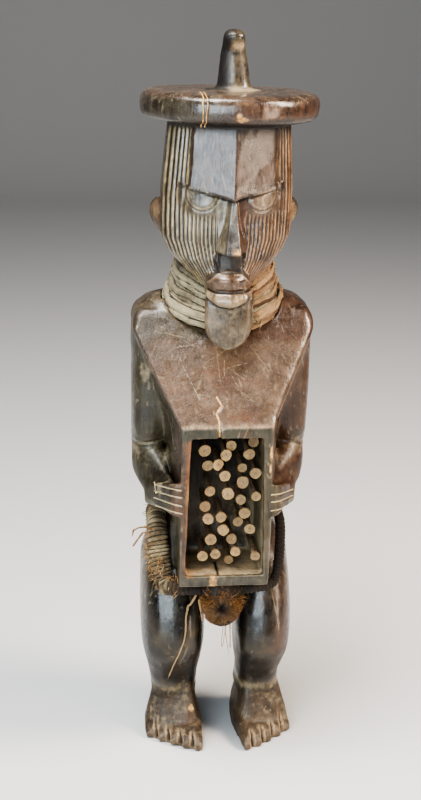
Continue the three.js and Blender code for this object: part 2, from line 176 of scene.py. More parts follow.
def speckle(points, size, seed):
    # smooth noise from -1 to 1 in cells of that size, which may differ along x, y and z
    scaled = points / np.asarray(size, dtype=float)
    cell = np.floor(scaled).astype(np.int64)
    part = scaled - cell
    part = part * part * (3.0 - 2.0 * part)
    total = np.zeros(len(points))
    for corner in itertools.product((0, 1), repeat=3):
        place = cell + np.array(corner)
        key = place @ np.array([73856093, 19349663, 83492791]) + seed * 15485863
        key = ((key ^ (key >> 13)) * 1274126177) & 0x7FFFFFFF
        value = ((key ^ (key >> 15)) & 0xFFFF) / 32767.5 - 1.0
        weight = np.prod(np.where(np.array(corner) == 1, part, 1.0 - part), axis=1)
        total += value * weight
    return total


def ripple(values, size, seed, shift=0.0):
    # the same noise along a single line
    line = np.zeros((len(values), 3))
    line[:, 0] = values
    line[:, 2] = shift
    return speckle(line, size, seed)


def relaxed(points, edges, rounds):
    # each vertex moves halfway to the middle of its neighbours
    linked = np.maximum(np.bincount(edges.ravel(), minlength=len(points)), 1)
    for _ in range(rounds):
        middle = np.empty_like(points)
        for axis in range(points.shape[1]):
            one = np.bincount(edges[:, 0], points[edges[:, 1], axis], len(points))
            two = np.bincount(edges[:, 1], points[edges[:, 0], axis], len(points))
            middle[:, axis] = (one + two) / linked
        points = (points + middle) / 2.0
    return points


def storeMask(mesh, name, values):
    layer = mesh.attributes.new(name, "FLOAT", "POINT")
    layer.data.foreach_set("value", np.clip(values, 0.0, 1.0).astype(np.float32))


def storeEven(obj, **values):
    for name, value in values.items():
        storeMask(obj.data, name, np.full(len(obj.data.vertices), float(value)))


def storeTint(mesh, name, colours):
    layer = mesh.attributes.new(name, "FLOAT_COLOR", "POINT")
    full = np.concatenate([colours, np.ones((len(colours), 1))], axis=1)
    layer.data.foreach_set("color", full.astype(np.float32).ravel())


# Shared effects, built once as node groups
def newGroup(name, inputs, outputs):
    # inputs: a label and its first value, where None stands for a place
    group = bpy.data.node_groups.new(name, "ShaderNodeTree")
    for label, value in inputs.items():
        kind = "NodeSocketFloat" if isinstance(value, float) else "NodeSocketVector"
        socket = group.interface.new_socket(label, in_out="INPUT", socket_type=kind)
        if value is not None:
            socket.default_value = value
    for label in outputs:
        group.interface.new_socket(label, in_out="OUTPUT", socket_type="NodeSocketFloat")
    return group, group.nodes.new("NodeGroupInput").outputs, group.nodes.new("NodeGroupOutput").inputs


def addNode(tree, kind, settings=None, **sockets):
    # sockets are named with underscores for spaces; a value may be a number, colour or output
    node = tree.nodes.new(kind)
    for name, value in (settings or {}).items():
        setattr(node, name, value)
    for name, value in sockets.items():
        label = name.replace("_", " ")
        if label.startswith("in "):
            socket = node.inputs[int(label[3:])]
        else:
            socket = node.inputs[label]
        if isinstance(value, bpy.types.NodeSocket):
            tree.links.new(value, socket)
        else:
            socket.default_value = value
    return node


def useGroup(tree, group, **values):
    return addNode(tree, "ShaderNodeGroup", {"node_tree": group}, **values).outputs


def math2(tree, operation, one, two, clamp=False):
    node = addNode(tree, "ShaderNodeMath", {"operation": operation, "use_clamp": clamp}, in_0=one, in_1=two)
    return node.outputs[0]


def times(tree, one, two, clamp=False):
    return math2(tree, "MULTIPLY", one, two, clamp)


def highest(tree, one, two):
    return math2(tree, "MAXIMUM", one, two)


def vectorMath(tree, operation, one, two, output=0):
    node = addNode(tree, "ShaderNodeVectorMath", {"operation": operation}, in_0=one, in_1=two)
    return node.outputs[output]


def mixed(tree, factor, one, two, blend="MIX"):
    kind = {"data_type": "RGBA", "blend_type": blend}
    return addNode(tree, "ShaderNodeMix", kind, in_0=factor, in_6=one, in_7=two).outputs[2]


def filtered(tree, colour, tone):
    return mixed(tree, 1.0, colour, tone, "MULTIPLY")


def laidOver(tree, colour, mask, amount, second):
    # the second colour lies over the first where the mask is high
    return mixed(tree, times(tree, mask, amount), colour, second)


def between(tree, value, low, high):
    node = addNode(tree, "ShaderNodeMapRange", {"interpolation_type": "SMOOTHSTEP"},
                   Value=value, From_Min=low, From_Max=high)
    return node.outputs[0]


def noiseOn(tree, vector, scale, detail=3.0, rough=0.5, **more):
    return addNode(tree, "ShaderNodeTexNoise", Vector=vector, Scale=scale, Detail=detail,
                   Roughness=rough, **more).outputs[0]


def roughen(tree, shader, height, strength, distance):
    bump = addNode(tree, "ShaderNodeBump", Strength=strength, Distance=distance, Height=height)
    tree.links.new(bump.outputs[0], shader.inputs["Normal"])


def makeGrainGroup():
    # long fibres along one direction, with pores: Fibre and Pore from 0 to 1
    inputs = {"Vector": None, "Fineness": 500.0, "Stretch": (1.0, 1.0, 0.06)}
    group, given, result = newGroup("longGrain", inputs, ("Fibre", "Pore"))
    stretched = addNode(group, "ShaderNodeMapping",
                        Vector=given["Vector"], Scale=given["Stretch"]).outputs[0]
    fibre = noiseOn(group, stretched, given["Fineness"], 4.0, 0.6, Distortion=0.15)
    pores = noiseOn(group, stretched, times(group, given["Fineness"], 2.3), 1.0)
    group.links.new(between(group, fibre, 0.32, 0.7), result["Fibre"])
    group.links.new(between(group, pores, 0.6, 0.72), result["Pore"])
    return group


def makeScratchGroup():
    # sparse fine lines that cross at odd angles
    inputs = {"Vector": None, "Scale": 60.0, "Amount": 0.5}
    group, given, result = newGroup("fineScratches", inputs, ["Scratch"])
    total = None
    for count, turn in enumerate(((0.35, 0.2, 0.6), (-0.5, 0.1, -0.9), (0.15, -0.3, 1.35))):
        turned = addNode(group, "ShaderNodeMapping", Vector=given["Vector"], Rotation=turn,
                         Location=(count * 3.1, count * 1.7, count * 5.3)).outputs[0]
        drawn = addNode(group, "ShaderNodeMapping", Vector=turned, Scale=(1.0, 1.0, 0.045)).outputs[0]
        line = between(group, noiseOn(group, drawn, times(group, given["Scale"], 9.0), 0.0), 0.71, 0.78)
        where = between(group, noiseOn(group, turned, given["Scale"], 1.0), 0.5, 0.62)
        line = times(group, line, where)
        total = line if total is None else highest(group, total, line)
    amount = times(group, total, given["Amount"], clamp=True)
    group.links.new(amount, result["Scratch"])
    return group


def makeDustGroup():
    # beige dust that lies where a mask is high, broken up by noise
    inputs = {"Vector": None, "Mask": 0.0, "Scale": 90.0}
    group, given, result = newGroup("settledDust", inputs, ["Dust"])
    coarse = noiseOn(group, given["Vector"], given["Scale"], 5.0, 0.7)
    broken = times(group, math2(group, "SUBTRACT", coarse, 0.5), 1.6)
    lifted = math2(group, "ADD", given["Mask"], broken)
    gate = between(group, given["Mask"], 0.02, 0.3)
    dust = times(group, between(group, lifted, 0.15, 0.95), gate, clamp=True)
    group.links.new(dust, result["Dust"])
    return group


grainGroup = makeGrainGroup()
scratchGroup = makeScratchGroup()
dustGroup = makeDustGroup()


def newMaterial(name, **plain):
    material = bpy.data.materials.new(name)
    material.use_nodes = True
    tree = material.node_tree
    shader = tree.nodes["Principled BSDF"]
    for label, value in plain.items():
        shader.inputs[label.replace("_", " ")].default_value = value
    place = tree.nodes.new("ShaderNodeTexCoord").outputs["Object"]
    return material, tree, shader, place


def maskOf(tree, name, output="Fac"):
    return addNode(tree, "ShaderNodeAttribute", {"attribute_name": name}).outputs[output]


# The dark mask darkens real dirt and also paints shade into cuts, hollows and shaded parts; the pale wear
# mask also paints a highlight on the chest's lower edge.
woodLook = {
    "dust": (0.30, 0.235, 0.15, 1.0), "grime": (0.008, 0.0055, 0.004, 1.0),
    "worn": (0.19, 0.125, 0.075, 1.0), "wornPale": (0.36, 0.26, 0.16, 1.0),
    "raw": (0.62, 0.40, 0.18, 1.0), "rawDeep": (0.36, 0.17, 0.05, 1.0),
    "cutPale": (0.42, 0.33, 0.19, 1.0), "redFlow": (0.095, 0.036, 0.019, 1.0),
    "darker": (0.36, 0.33, 0.32, 1.0), "paler": (2.0, 1.8, 1.5, 1.0), "dry": 0.8,
}
# Cracks show raw wood, scratches show dust. Points are x and z on the front, then half-width.
hatCracks = [
    ([(-29.0, 613), (-29.4, 604), (-28.8, 595), (-29.0, 584)], 0.65),
    ([(-26.4, 612), (-25.6, 602), (-26.2, 593), (-25.8, 584)], 0.6),
    ([(-25.5, 612), (-20.0, 615)], 0.7), ([(-29.0, 612), (-34.0, 615)], 0.6),
]
chestCracks = [([(-9.0, 353), (-4.8, 346.5), (-9.6, 341), (-7.6, 335.5), (-7.2, 316.8)], 1.0)]
# The pale cuts that part the fingers. Their second value is the height less what the depth takes
# away for somebody who looks down a little: height + lineTilt * depth.
lineTilt = 0.298
fingerLines = [
    ([(-60.2, 249.0), (-39.5, 245.3)], 0.85), ([(-60.7, 242.7), (-39.2, 238.5)], 0.85),
    ([(-61.2, 236.4), (-38.9, 230.6)], 0.85), ([(-60.0, 229.1), (-38.2, 223.3)], 0.85),
    ([(-61.0, 251.0), (-60.0, 241.0), (-56.0, 243.3)], 0.6),
    ([(40.6, 239.5), (67.0, 240.6)], 0.8), ([(40.8, 232.5), (67.3, 234.7)], 0.8),
    ([(41.0, 224.4), (65.0, 226.8)], 0.8), ([(41.3, 217.3), (64.7, 222.8)], 0.8),
]
scratchLines = [
    ([(-1.5, 381), (-1.8, 369)], 0.5), ([(1.5, 375), (18.5, 379)], 0.45),
    ([(1.0, 376), (16.0, 366)], 0.4), ([(-41.0, 384), (-34.5, 369)], 0.45),
    ([(-28.0, 359), (-24.0, 352)], 0.5), ([(-30.5, 356), (-20.0, 355)], 0.4),
    ([(-36.0, 374), (-22.0, 347)], 0.35), ([(-62.0, 404), (-36.0, 399)], 0.5),
    ([(-58.0, 408), (-28.0, 392)], 0.4), ([(-44.0, 391), (-20.0, 395)], 0.4),
    ([(3.0, 372), (14.0, 354)], 0.4), ([(-8.0, 388), (-5.0, 362)], 0.35),
    ([(22.0, 392), (38.0, 372)], 0.35), ([(-20.0, 378), (0.0, 389)], 0.35),
    ([(8.0, 360), (24.0, 349)], 0.35),
]


def shakenPlace(tree, place, shake, tilt=0.0):
    # the place seen from the front, with a little noise so that drawn lines waver
    noise = addNode(tree, "ShaderNodeTexNoise", Vector=place, Scale=170.0, Detail=3.0).outputs["Color"]
    noise = vectorMath(tree, "SUBTRACT", noise, (0.5, 0.5, 0.5))
    noise = vectorMath(tree, "MULTIPLY", noise, (shake, shake, shake))
    spot = vectorMath(tree, "ADD", place, noise)
    across = vectorMath(tree, "DOT_PRODUCT", spot, (1.0, 0.0, 0.0), "Value")
    high = vectorMath(tree, "DOT_PRODUCT", spot, (0.0, tilt, 1.0), "Value")
    return addNode(tree, "ShaderNodeCombineXYZ", X=across, Z=high).outputs[0]


def lineMark(tree, spot, start, end, width):
    # a thin mark between two points on a flattened place, strongest in its middle
    line = end - start
    away = vectorMath(tree, "SUBTRACT", spot, tuple(start))
    share = vectorMath(tree, "DOT_PRODUCT", away, tuple(line / np.dot(line, line)), "Value")
    share = math2(tree, "ADD", share, 0.0, clamp=True)
    foot = addNode(tree, "ShaderNodeVectorMath", {"operation": "SCALE"}, in_0=tuple(line), Scale=share)
    gap = vectorMath(tree, "DISTANCE", away, foot.outputs[0], "Value")
    return between(tree, gap, width, width * 0.45)


def allLines(tree, spot, lines, where, tilt=0.0):
    total = None
    raised = np.array([0.0, 0.0, tilt * stand["depth"] / 1000.0])
    for points, width in lines:
        for ends in zip(points[:-1], points[1:]):
            start, end = (leaning((point[0], 0.0, point[1])) * np.array([1.0, 0.0, 1.0]) for point in ends)
            mark = lineMark(tree, spot, start + raised, end + raised, width / 1000.0)
            total = mark if total is None else highest(tree, total, mark)
    return times(tree, total, where)


def makeCarvedWood(name, cracks=None, scratches=None, cuts=None, mottle=1.0, gloss=0.24, polish=0.35):
    # one wood for the whole figure; the drawn lines differ from region to region
    look = woodLook
    material, tree, shader, place = newMaterial(name, Coat_Roughness=0.2, Coat_IOR=1.5, IOR=1.5)
    tint = maskOf(tree, "tint", "Color")
    depth = addNode(tree, "ShaderNodeSeparateXYZ", Vector=place).outputs["Y"]
    atFront = between(tree, depth, -0.02, -0.035)
    grain = useGroup(tree, grainGroup, Vector=place, Fineness=380.0, Stretch=(1.0, 1.0, 0.06))
    blotch = noiseOn(tree, place, 42.0, 5.0, 0.62)
    patch = noiseOn(tree, place, 130.0, 5.0, 0.68)
    speck = noiseOn(tree, place, 430.0, 3.0, 0.6)
    scratch = useGroup(tree, scratchGroup, Vector=place, Scale=30.0, Amount=0.55)["Scratch"]
    wavering = shakenPlace(tree, place, 0.0022)
    if scratches:
        drawn = allLines(tree, wavering, scratches, atFront)
        scratch = highest(tree, scratch, times(tree, drawn, between(tree, speck, 0.38, 0.55)))
    if cracks:
        cracks = allLines(tree, wavering, cracks, atFront)
    if cuts:
        cuts = allLines(tree, shakenPlace(tree, place, 0.0007, lineTilt), cuts, atFront, lineTilt)
        cuts = times(tree, cuts, between(tree, patch, 0.25, 0.42))
    darker = mixed(tree, mottle, tint, filtered(tree, tint, look["darker"]))
    paler = filtered(tree, tint, look["paler"])
    colour = mixed(tree, between(tree, blotch, 0.40, 0.60), darker, tint)
    colour = laidOver(tree, colour, between(tree, patch, 0.5, 0.7), 0.6 * mottle, paler)
    colour = laidOver(tree, colour, between(tree, blotch, 0.58, 0.7), 0.4, look["redFlow"])
    colour = laidOver(tree, colour, grain["Fibre"], 0.3, paler)
    colour = laidOver(tree, colour, grain["Pore"], 0.55, look["grime"])
    # the pale mask is rubbed wear in most places and a painted highlight on the chest's lower edge
    worn = times(tree, maskOf(tree, "worn"), between(tree, patch, 0.2, 0.5))
    colour = mixed(tree, worn, colour, mixed(tree, grain["Fibre"], look["worn"], look["wornPale"]))
    dust = useGroup(tree, dustGroup, Vector=place, Mask=maskOf(tree, "dust"), Scale=150.0)["Dust"]
    colour = laidOver(tree, colour, scratch, 0.6, look["dust"])
    colour = laidOver(tree, colour, dust, 0.75, look["dust"])
    # this mask is real dirt in places and painted shade in others, dark and matt in both
    grime = maskOf(tree, "grime")
    colour = mixed(tree, grime, colour, look["grime"])
    raw = maskOf(tree, "raw")
    if cracks:
        raw = highest(tree, raw, cracks)
    rawTone = mixed(tree, between(tree, speck, 0.4, 0.6), look["rawDeep"], look["raw"])
    colour = mixed(tree, raw, colour, rawTone)
    if cuts:
        colour = mixed(tree, cuts, colour, look["cutPale"])
    tree.links.new(colour, shader.inputs["Base Color"])
    matt = highest(tree, dust, highest(tree, raw, times(tree, worn, 0.6)))
    matt = highest(tree, matt, times(tree, grime, 0.9))
    rough = addNode(tree, "ShaderNodeMapRange", Value=patch, From_Min=0.3, From_Max=0.75,
                    To_Min=gloss - 0.07, To_Max=gloss + 0.2).outputs[0]
    rough = addNode(tree, "ShaderNodeMix", {"data_type": "FLOAT"}, in_0=matt, in_2=rough, in_3=look["dry"])
    tree.links.new(rough.outputs[0], shader.inputs["Roughness"])
    coat = times(tree, math2(tree, "SUBTRACT", 1.0, matt, clamp=True), polish)
    tree.links.new(coat, shader.inputs["Coat Weight"])
    height = times(tree, grain["Fibre"], 0.22)
    height = math2(tree, "SUBTRACT", height, times(tree, grain["Pore"], 0.35))
    height = math2(tree, "ADD", height, times(tree, patch, 1.2))
    height = math2(tree, "ADD", height, times(tree, speck, 0.25))
    for mark, depth in ((cracks, 0.8), (cuts, 0.6)):
        if mark:
            height = math2(tree, "SUBTRACT", height, times(tree, mark, depth))
    roughen(tree, shader, height, 0.55, 0.0006)
    return material


# Each region runs from one height up to the next
carvedWoods = {
    0: makeCarvedWood("carvedWoodFeet", gloss=0.48, polish=0.05),
    50: makeCarvedWood("carvedWoodLegs", gloss=0.28, polish=0.55),
    226: makeCarvedWood("carvedWoodHands", cuts=fingerLines, gloss=0.40, polish=0.1),
    290: makeCarvedWood("carvedWoodChest", cracks=chestCracks, scratches=scratchLines,
                        mottle=0.55, gloss=0.27),
    420: makeCarvedWood("carvedWoodFace", gloss=0.27, polish=0.55),
    570: makeCarvedWood("carvedWoodHat", cracks=hatCracks, polish=0.6),
}
print("materials ready")

# The carved figure: a finely meshed copy of the solid, smoothed and cut further with the
# carver's own strokes. Heights, half-widths and depths are those of the solid.
carving = {
    "voxel": 0.95, "voxelQuick": 1.7, "triangles": 197000,
    "ridgeFirst": 0.2, "ridgeStep": 0.0298, "browLine": 523.4, "browRise": 0.27,
    "headHalfWidth": ((437, 20), (459, 39), (472, 51), (487, 57.5), (507, 58.5), (526, 58.3), (600, 53)),
    "headFront": ((437, 58), (459, 65.5), (487, 65), (507, 64), (526, 64), (600, 60)),
    "hatBottom": 586.0, "lip": ((-1.7, -60.0, 455.0), (19.8, 21.5, 9.2)), "browLift": 3.4,
    "eyeAcross": 26.0, "eyeHigh": 528.5, "eyeHalfWidth": 12.2, "eyeDrop": 13.2,
    "mouthShift": -1.7, "mouthLine": 446.6,
    # depth, distance from the middle, half-width, lowest and highest point of the hand
    "handStations": ((-34, 65.0, 3.4, 234, 258), (-42, 64.0, 6.2, 231.5, 262), (-52, 58.0, 6.9, 234, 265.5),
                     (-90, 44.6, 5.2, 246.2, 276.8), (-94.5, 41.8, 3.2, 248.0, 278.0)),
}
feet = {
    "left": -39.5, "right": 42.0, "turnLeft": 0.02, "turnRight": 0.13, "inner": 70.0, "slant": 27.0,
    "first": -22.5, "spread": 45.5, "high": 6.0, "columns": 16,
    "webFront": 3.2, "webBack": 31.0, "webAtTip": 2.0, "webAtRoot": 3.75,
}


def footPoint(side, across, depth, high):
    # a point of the foot in its own place to bench millimetres, as the solid is turned and set
    turn = side * (feet["turnRight"] if side > 0 else feet["turnLeft"])
    centre = feet["right"] if side > 0 else feet["left"]
    flat = side * across
    return (flat * math.cos(turn) - depth * math.sin(turn) + centre,
            flat * math.sin(turn) + depth * math.cos(turn), high)


def toeTip(outward):
    # depth of the toes' tips, from the big toe at 0 to the little toe at 1
    return -(feet["inner"] - feet["slant"] * outward ** 1.3)


def bentBlock(axis, cuts, place):
    # a cube sliced along one axis, then each of its corners, from -0.5 to 0.5, is put in place
    bpy.ops.mesh.primitive_cube_add(size=1.0)
    web = sliced(bpy.context.object, axis, [cut / cuts - 0.5 for cut in range(1, cuts)])
    writePoints(web.data, leaning([place(spot) for spot in readPoints(web.data)]))
    return edited(web, facesOut)


def toeWeb(side):
    # the wood between the toes, so that they are one block with cuts between them
    def place(spot):
        outward = spot[0] + 0.5
        atTip = spot[1] < 0
        depth = toeTip(outward) + (feet["webFront"] if atTip else feet["webBack"])
        top = (feet["high"] - outward * 0.8) * feet["webAtTip" if atTip else "webAtRoot"]
        return footPoint(side, feet["first"] + feet["spread"] * outward, depth, top if spot[2] > 0 else 0.0)

    return bentBlock(0, feet["columns"], place)


def handWeb(side):
    # one mass of hand behind the fingers: its stations run from the wrist to the fingertips
    stations = carving["handStations"]
    last = len(stations) - 1

    def place(spot):
        depth, across, half, low, high = stations[int(round((0.5 - spot[1]) * last))]
        return side * (across + spot[0] * 2 * half), depth, (high if spot[2] > 0 else low) - side * 1.5

    return bentBlock(1, last, place)


def lipLump():
    centre, radii = carving["lip"]
    bpy.ops.mesh.primitive_uv_sphere_add(segments=40, ring_count=20, location=leaning(centre))
    lump = bpy.context.object
    lump.scale = [value / 1000.0 for value in radii]
    return freeze(lump)


figureCarved = joinAs("figureCarved", [
    copyOfNode("figure", "figureCarved"), toeWeb(-1), toeWeb(1), handWeb(-1), handWeb(1), lipLump()])
applied(figureCarved, "REMESH", mode="VOXEL", adaptivity=0.0,
        voxel_size=carving["voxel"] / 1000.0)
skinMesh = figureCarved.data
print("figure meshed", len(skinMesh.vertices))

edges = readEdges(skinMesh)
fineness = 1.0


def tableAt(height, name):
    heights, values = zip(*carving[name])
    return np.interp(height, heights, values)


def chestDepth(height):
    return -95.0 + (height - 329.0) * 55.0 / 76.0


def offPlane(y, z):
    # 0 on the chest's flat front and 1 well behind it
    return ramp(y - chestDepth(z), 7.0, 24.0)


def softenForms(points):
    # how many rounds each part is smoothed, so that only carved edges stay crisp
    x, y, z = upright(points).T
    rounds = np.full(len(points), 30.0)
    wide = np.abs(x)
    reach = np.hypot(x, y)
    plane = (z > 318) & (z < 420) & (np.abs(y - chestDepth(z)) < 8) & (wide < 84)
    edgeX = 40.0 + (z - 329.0) * 41.0 / 76.0
    for amount, where in (
            (150, z < 183),
            (110, (z >= 183) & (y > -25) & (z < 380)),
            (110, (wide > 44) & (z > 222) & (z < 380) & (y > -60)),
            (14, plane),
            (190, plane & (x > edgeX - 15) & (z > 334)),
            (5, (y < -45) & (wide < 47) & (z > 174) & (z < 332)),
            (4, (y > -92) & (wide < 37) & (z > 186) & (z < 324)),
            (9, (wide > 37) & (z > 230) & (z < 284) & (y < -40)),
            (3, (z > 430) & (z < 586) & (y < 30)),
            (60, (z > 430) & (z < 586) & (y > 30)),
            (7, (z > 516) & (z < 586) & (y < -53)),
            (12, (z > 392) & (z < 467) & (y < -60)),
            (5, (z > 467) & (z < 525) & (wide < 13) & (y < -60)),
            (20, (z > 470) & (z < 525) & (wide > 58.5) & (y > -14)),
            (90, (z > 583) & (reach > 24)),
            (80, (z > 606) & (reach < 24)),
            (16, z < 44),
            (6, (z < 40) & (y < -40)),
            (30, (z > 404) & (z < 475) & (reach < 60) & (y > -60))):
        rounds[where] = amount
    arms = (wide > 44) & (z > 222) & (z < 380) & (y > -60) & ~plane
    rounds[arms] = 14.0 + 96.0 * offPlane(y, z)[arms]
    rounds = relaxed(rounds[:, None], edges, 14)[:, 0] * fineness ** 2
    for step in range(0, int(rounds.max()) + 1, 10):
        active = rounds > step
        some = edges[active[edges[:, 0]] | active[edges[:, 1]]]
        share = np.clip((rounds - step) / 10.0, 0.0, 1.0)[:, None]
        points = points + (relaxed(points, some, 10) - points) * np.where(active[:, None], share, 0.0)
    return points


def fillHollows(points, where, rounds):
    # fills the grooves where forms meet and leaves the crests
    strength = relaxed(where.astype(float)[:, None], edges, 24)
    strength = np.where(strength > 0.01, strength, 0.0)
    some = edges[(strength[edges[:, 0], 0] > 0) | (strength[edges[:, 1], 0] > 0)]
    for _ in range(4):
        writePoints(skinMesh, points)
        outward = readPoints(skinMesh, "normal")
        for _ in range(int(rounds * fineness ** 2 / 4)):
            moved = relaxed(points, some, 1) - points
            rise = np.sum(moved * outward, axis=1)
            share = np.where(rise > 0, 1.0, 0.12)[:, None]
            points = points + moved * share * strength
    return points


skin = softenForms(relaxed(readPoints(skinMesh), edges, 2))
x, y, z = upright(skin).T
besideChest = (np.abs(x) > 42) & (np.abs(x) < 76) & (y > -66) & (y < -22) & (z > 284) & (z < 384)
skin = fillHollows(skin, besideChest * offPlane(y, z), 160)
skin = fillHollows(skin, ramp(z, 135, 175) * (1 - ramp(z, 205, 218)) * (y > -60), 60)


def mould(points):
    # small corrections of the solid's forms: brow higher in the middle, ears drawn to a point
    place = upright(points)
    x, y, z = place.T
    low = 520.0 + 0.29 * np.abs(x)
    lift = carving["browLift"] * (1.0 - ramp(np.abs(x), 8.0, 34.0)) * near(z, low, 9.0) * (y < -50)
    place[:, 2] += lift * (z > 480)
    for side in (-1, 1):
        base = tableAt(z, "headHalfWidth") - 0.6
        flap = (x * side > base + 0.8) & (z > 466) & (z < 524) & (np.abs(y - 4) < 17)
        narrow = 1.0 - 0.97 * (1.0 - ramp(z, 476, 506))
        place[flap, 0] = side * (base + (x * side - base) * narrow)[flap]
        place[flap, 1] = 4.0 + (y[flap] - 4.0) * (0.4 + 0.6 * narrow[flap])
        hand = (x * side > 42) & (x * side < 72) & (y < -30) & (y > -97) & (z > 222) & (z < 262)
        under = 228.0 + (x * side - 38.0) * 0.3 - (z + lineTilt * y)
        place[hand, 2] += (np.clip(under, 0.0, 20.0) * 0.5 * ramp(x * side, 42, 56))[hand]
    return leaning(place)


skin = mould(skin)
writePoints(skinMesh, skin)
print("forms smoothed")

at = upright(skin)
normal = readPoints(skinMesh, "normal")
x, y, z = at[:, 0], at[:, 1], at[:, 2]
count = len(at)
push = np.zeros(count)
masks = {name: np.zeros(count) for name in ("dust", "worn", "raw", "grime")}
tint = np.tile(np.array([0.05, 0.03, 0.02]), (count, 1))
skipDust = np.zeros(count)


def paint(where, colour, strength=1.0, index=slice(None)):
    share = np.clip(where * strength, 0.0, 1.0)[:, None]
    tint[index] = tint[index] * (1.0 - share) + np.array(colour) * share


def raiseMask(name, values, index=slice(None)):
    masks[name][index] = np.maximum(masks[name][index], values)


def toLine(points, reach, depthRange, flat=(0, 2), tilt=0.0):
    # distance of the nearby skin to a line, seen along the third axis, and how far along it is
    line = np.array(points, dtype=float)
    low = line.min(axis=0) - reach
    high = line.max(axis=0) + reach
    one, two = at[:, flat[0]], at[:, flat[1]] + tilt * at[:, 1]
    third = at[:, 3 - flat[0] - flat[1]]
    inside = (one > low[0]) & (one < high[0]) & (two > low[1]) & (two < high[1])
    inside &= (third > depthRange[0]) & (third < depthRange[1])
    index = np.nonzero(inside)[0]
    spot = np.stack([one[index], two[index]], axis=1)
    best = np.full(len(index), 1e9)
    along = np.zeros(len(index))
    steps = np.linalg.norm(np.diff(line, axis=0), axis=1)
    starts = np.concatenate([[0.0], np.cumsum(steps)])
    for number, length in enumerate(steps):
        direction = (line[number + 1] - line[number]) / length
        share = np.clip((spot - line[number]) @ direction, 0.0, length)
        gap = np.linalg.norm(spot - line[number] - share[:, None] * direction, axis=1)
        closer = gap < best
        best[closer] = gap[closer]
        along[closer] = (starts[number] + share[closer]) / starts[-1]
    keep = best < reach
    return index[keep], best[keep], along[keep]


def groove(points, width, depth, depthRange, lip=0.0, taper=True, tilt=0.0, **cutMasks):
    # a V cut along a line, with a raised lip beside it and masks laid in it, such as dust and painted shade
    index, gap, along = toLine(points, width * 2.2, depthRange, tilt=tilt)
    size = np.sin(np.pi * np.clip(along * 0.9 + 0.05, 0.0, 1.0)) ** 0.4 if taper else np.ones(len(gap))
    inner = np.clip(1.0 - gap / width, 0.0, 1.0)
    push[index] -= depth * inner ** 1.2 * size
    if lip:
        push[index] += lip * near(gap, width * 1.25, width * 0.5) * size
    for name, strength in cutMasks.items():
        raiseMask(name, strength * np.clip(inner * 1.6, 0, 1) * size, index)


def dent(centre, radii, depth):
    away = np.sum(((at - np.array(centre)) / np.array(radii)) ** 2, axis=1)
    share = np.clip(1.0 - away, 0.0, 1.0) ** 1.5
    push[:] -= share * depth
    return share


def browAt(across):
    return carving["browLine"] + np.abs(across) * carving["browRise"]


def cutRidges():
    # the face's upright flutes with narrow crests; they stop at the brow and start under the eyes
    halfWidth = tableAt(z, "headHalfWidth")
    front = tableAt(z, "headFront")
    share = np.clip(np.abs(x) / halfWidth, 0.0, 0.999)
    surface = -front * (1.0 - share ** 2.4) ** (1 / 2.4)
    proud = surface - y
    onFace = (z > 440) & (z < 584) & (y < 14) & (share > 0.215) & (share < 0.992)
    onFace &= (proud < 3.0) & (proud > -5.0) & (normal[:, 1] < 0.4)
    onFace &= ~((np.abs(x) < 37.5) & (z > browAt(x) - 2.5) & (y < -50))
    aroundEye = np.hypot((np.abs(x) - carving["eyeAcross"]) / (carving["eyeHalfWidth"] + 4.0),
                         (z - carving["eyeHigh"]) / (carving["eyeDrop"] + 4.0))
    socket = (z < browAt(x) + 1) & (z > 500) & (share < 0.79)
    starts = 512.0 - 5.0 * ripple(x, 5.0, 17)
    clear = np.where(socket, ramp(aroundEye, 1.0, 1.3) * ramp(z, starts + 6, starts - 3), 1.0)
    turn = np.cos(np.pi * (share - carving["ridgeFirst"]) / carving["ridgeStep"])
    fade = ramp(z, 440, 450) * (1.0 - ramp(z, 581, 584))
    strength = np.where(onFace, fade * clear, 0.0)
    fresh = np.where((z > 501) & (z < 526) & (share < 0.72), 1.0, 0.0)
    push[:] -= strength * (0.8 + 0.5 * fresh) * (0.5 - 0.5 * turn) ** 0.8
    crest = strength * ramp(turn, -0.35, 0.55) * (0.8 + 0.2 * speckle(at, (3.0, 3.0, 22.0), 18))
    # painted light: the left side is painted olive as under cool light and the right side reddish as under
    # warm light, on the face and on the crests
    coolLitLeft = ramp(-x, -18, 18)
    paint(strength * coolLitLeft, (0.13, 0.105, 0.066))
    paint(strength * (1 - coolLitLeft), (0.095, 0.052, 0.029))
    # painted shade in the grooves between the crests
    paint(strength * ramp(-turn, 0.0, 0.75) * 0.92, (0.022, 0.015, 0.010))
    # the crests are pale partly from wear and partly as a painted highlight
    paint(crest * coolLitLeft, (0.33, 0.27, 0.17))
    paint(crest * (1 - coolLitLeft), (0.235, 0.138, 0.074))
    # more painted shade at the bottom of the grooves
    raiseMask("grime", strength * ramp(-turn, 0.5, 1.0) * 0.4)
    raiseMask("dust", crest * (0.12 + 0.2 * speckle(at, 7.0, 19)))
    skipDust[:] = np.maximum(skipDust, strength)


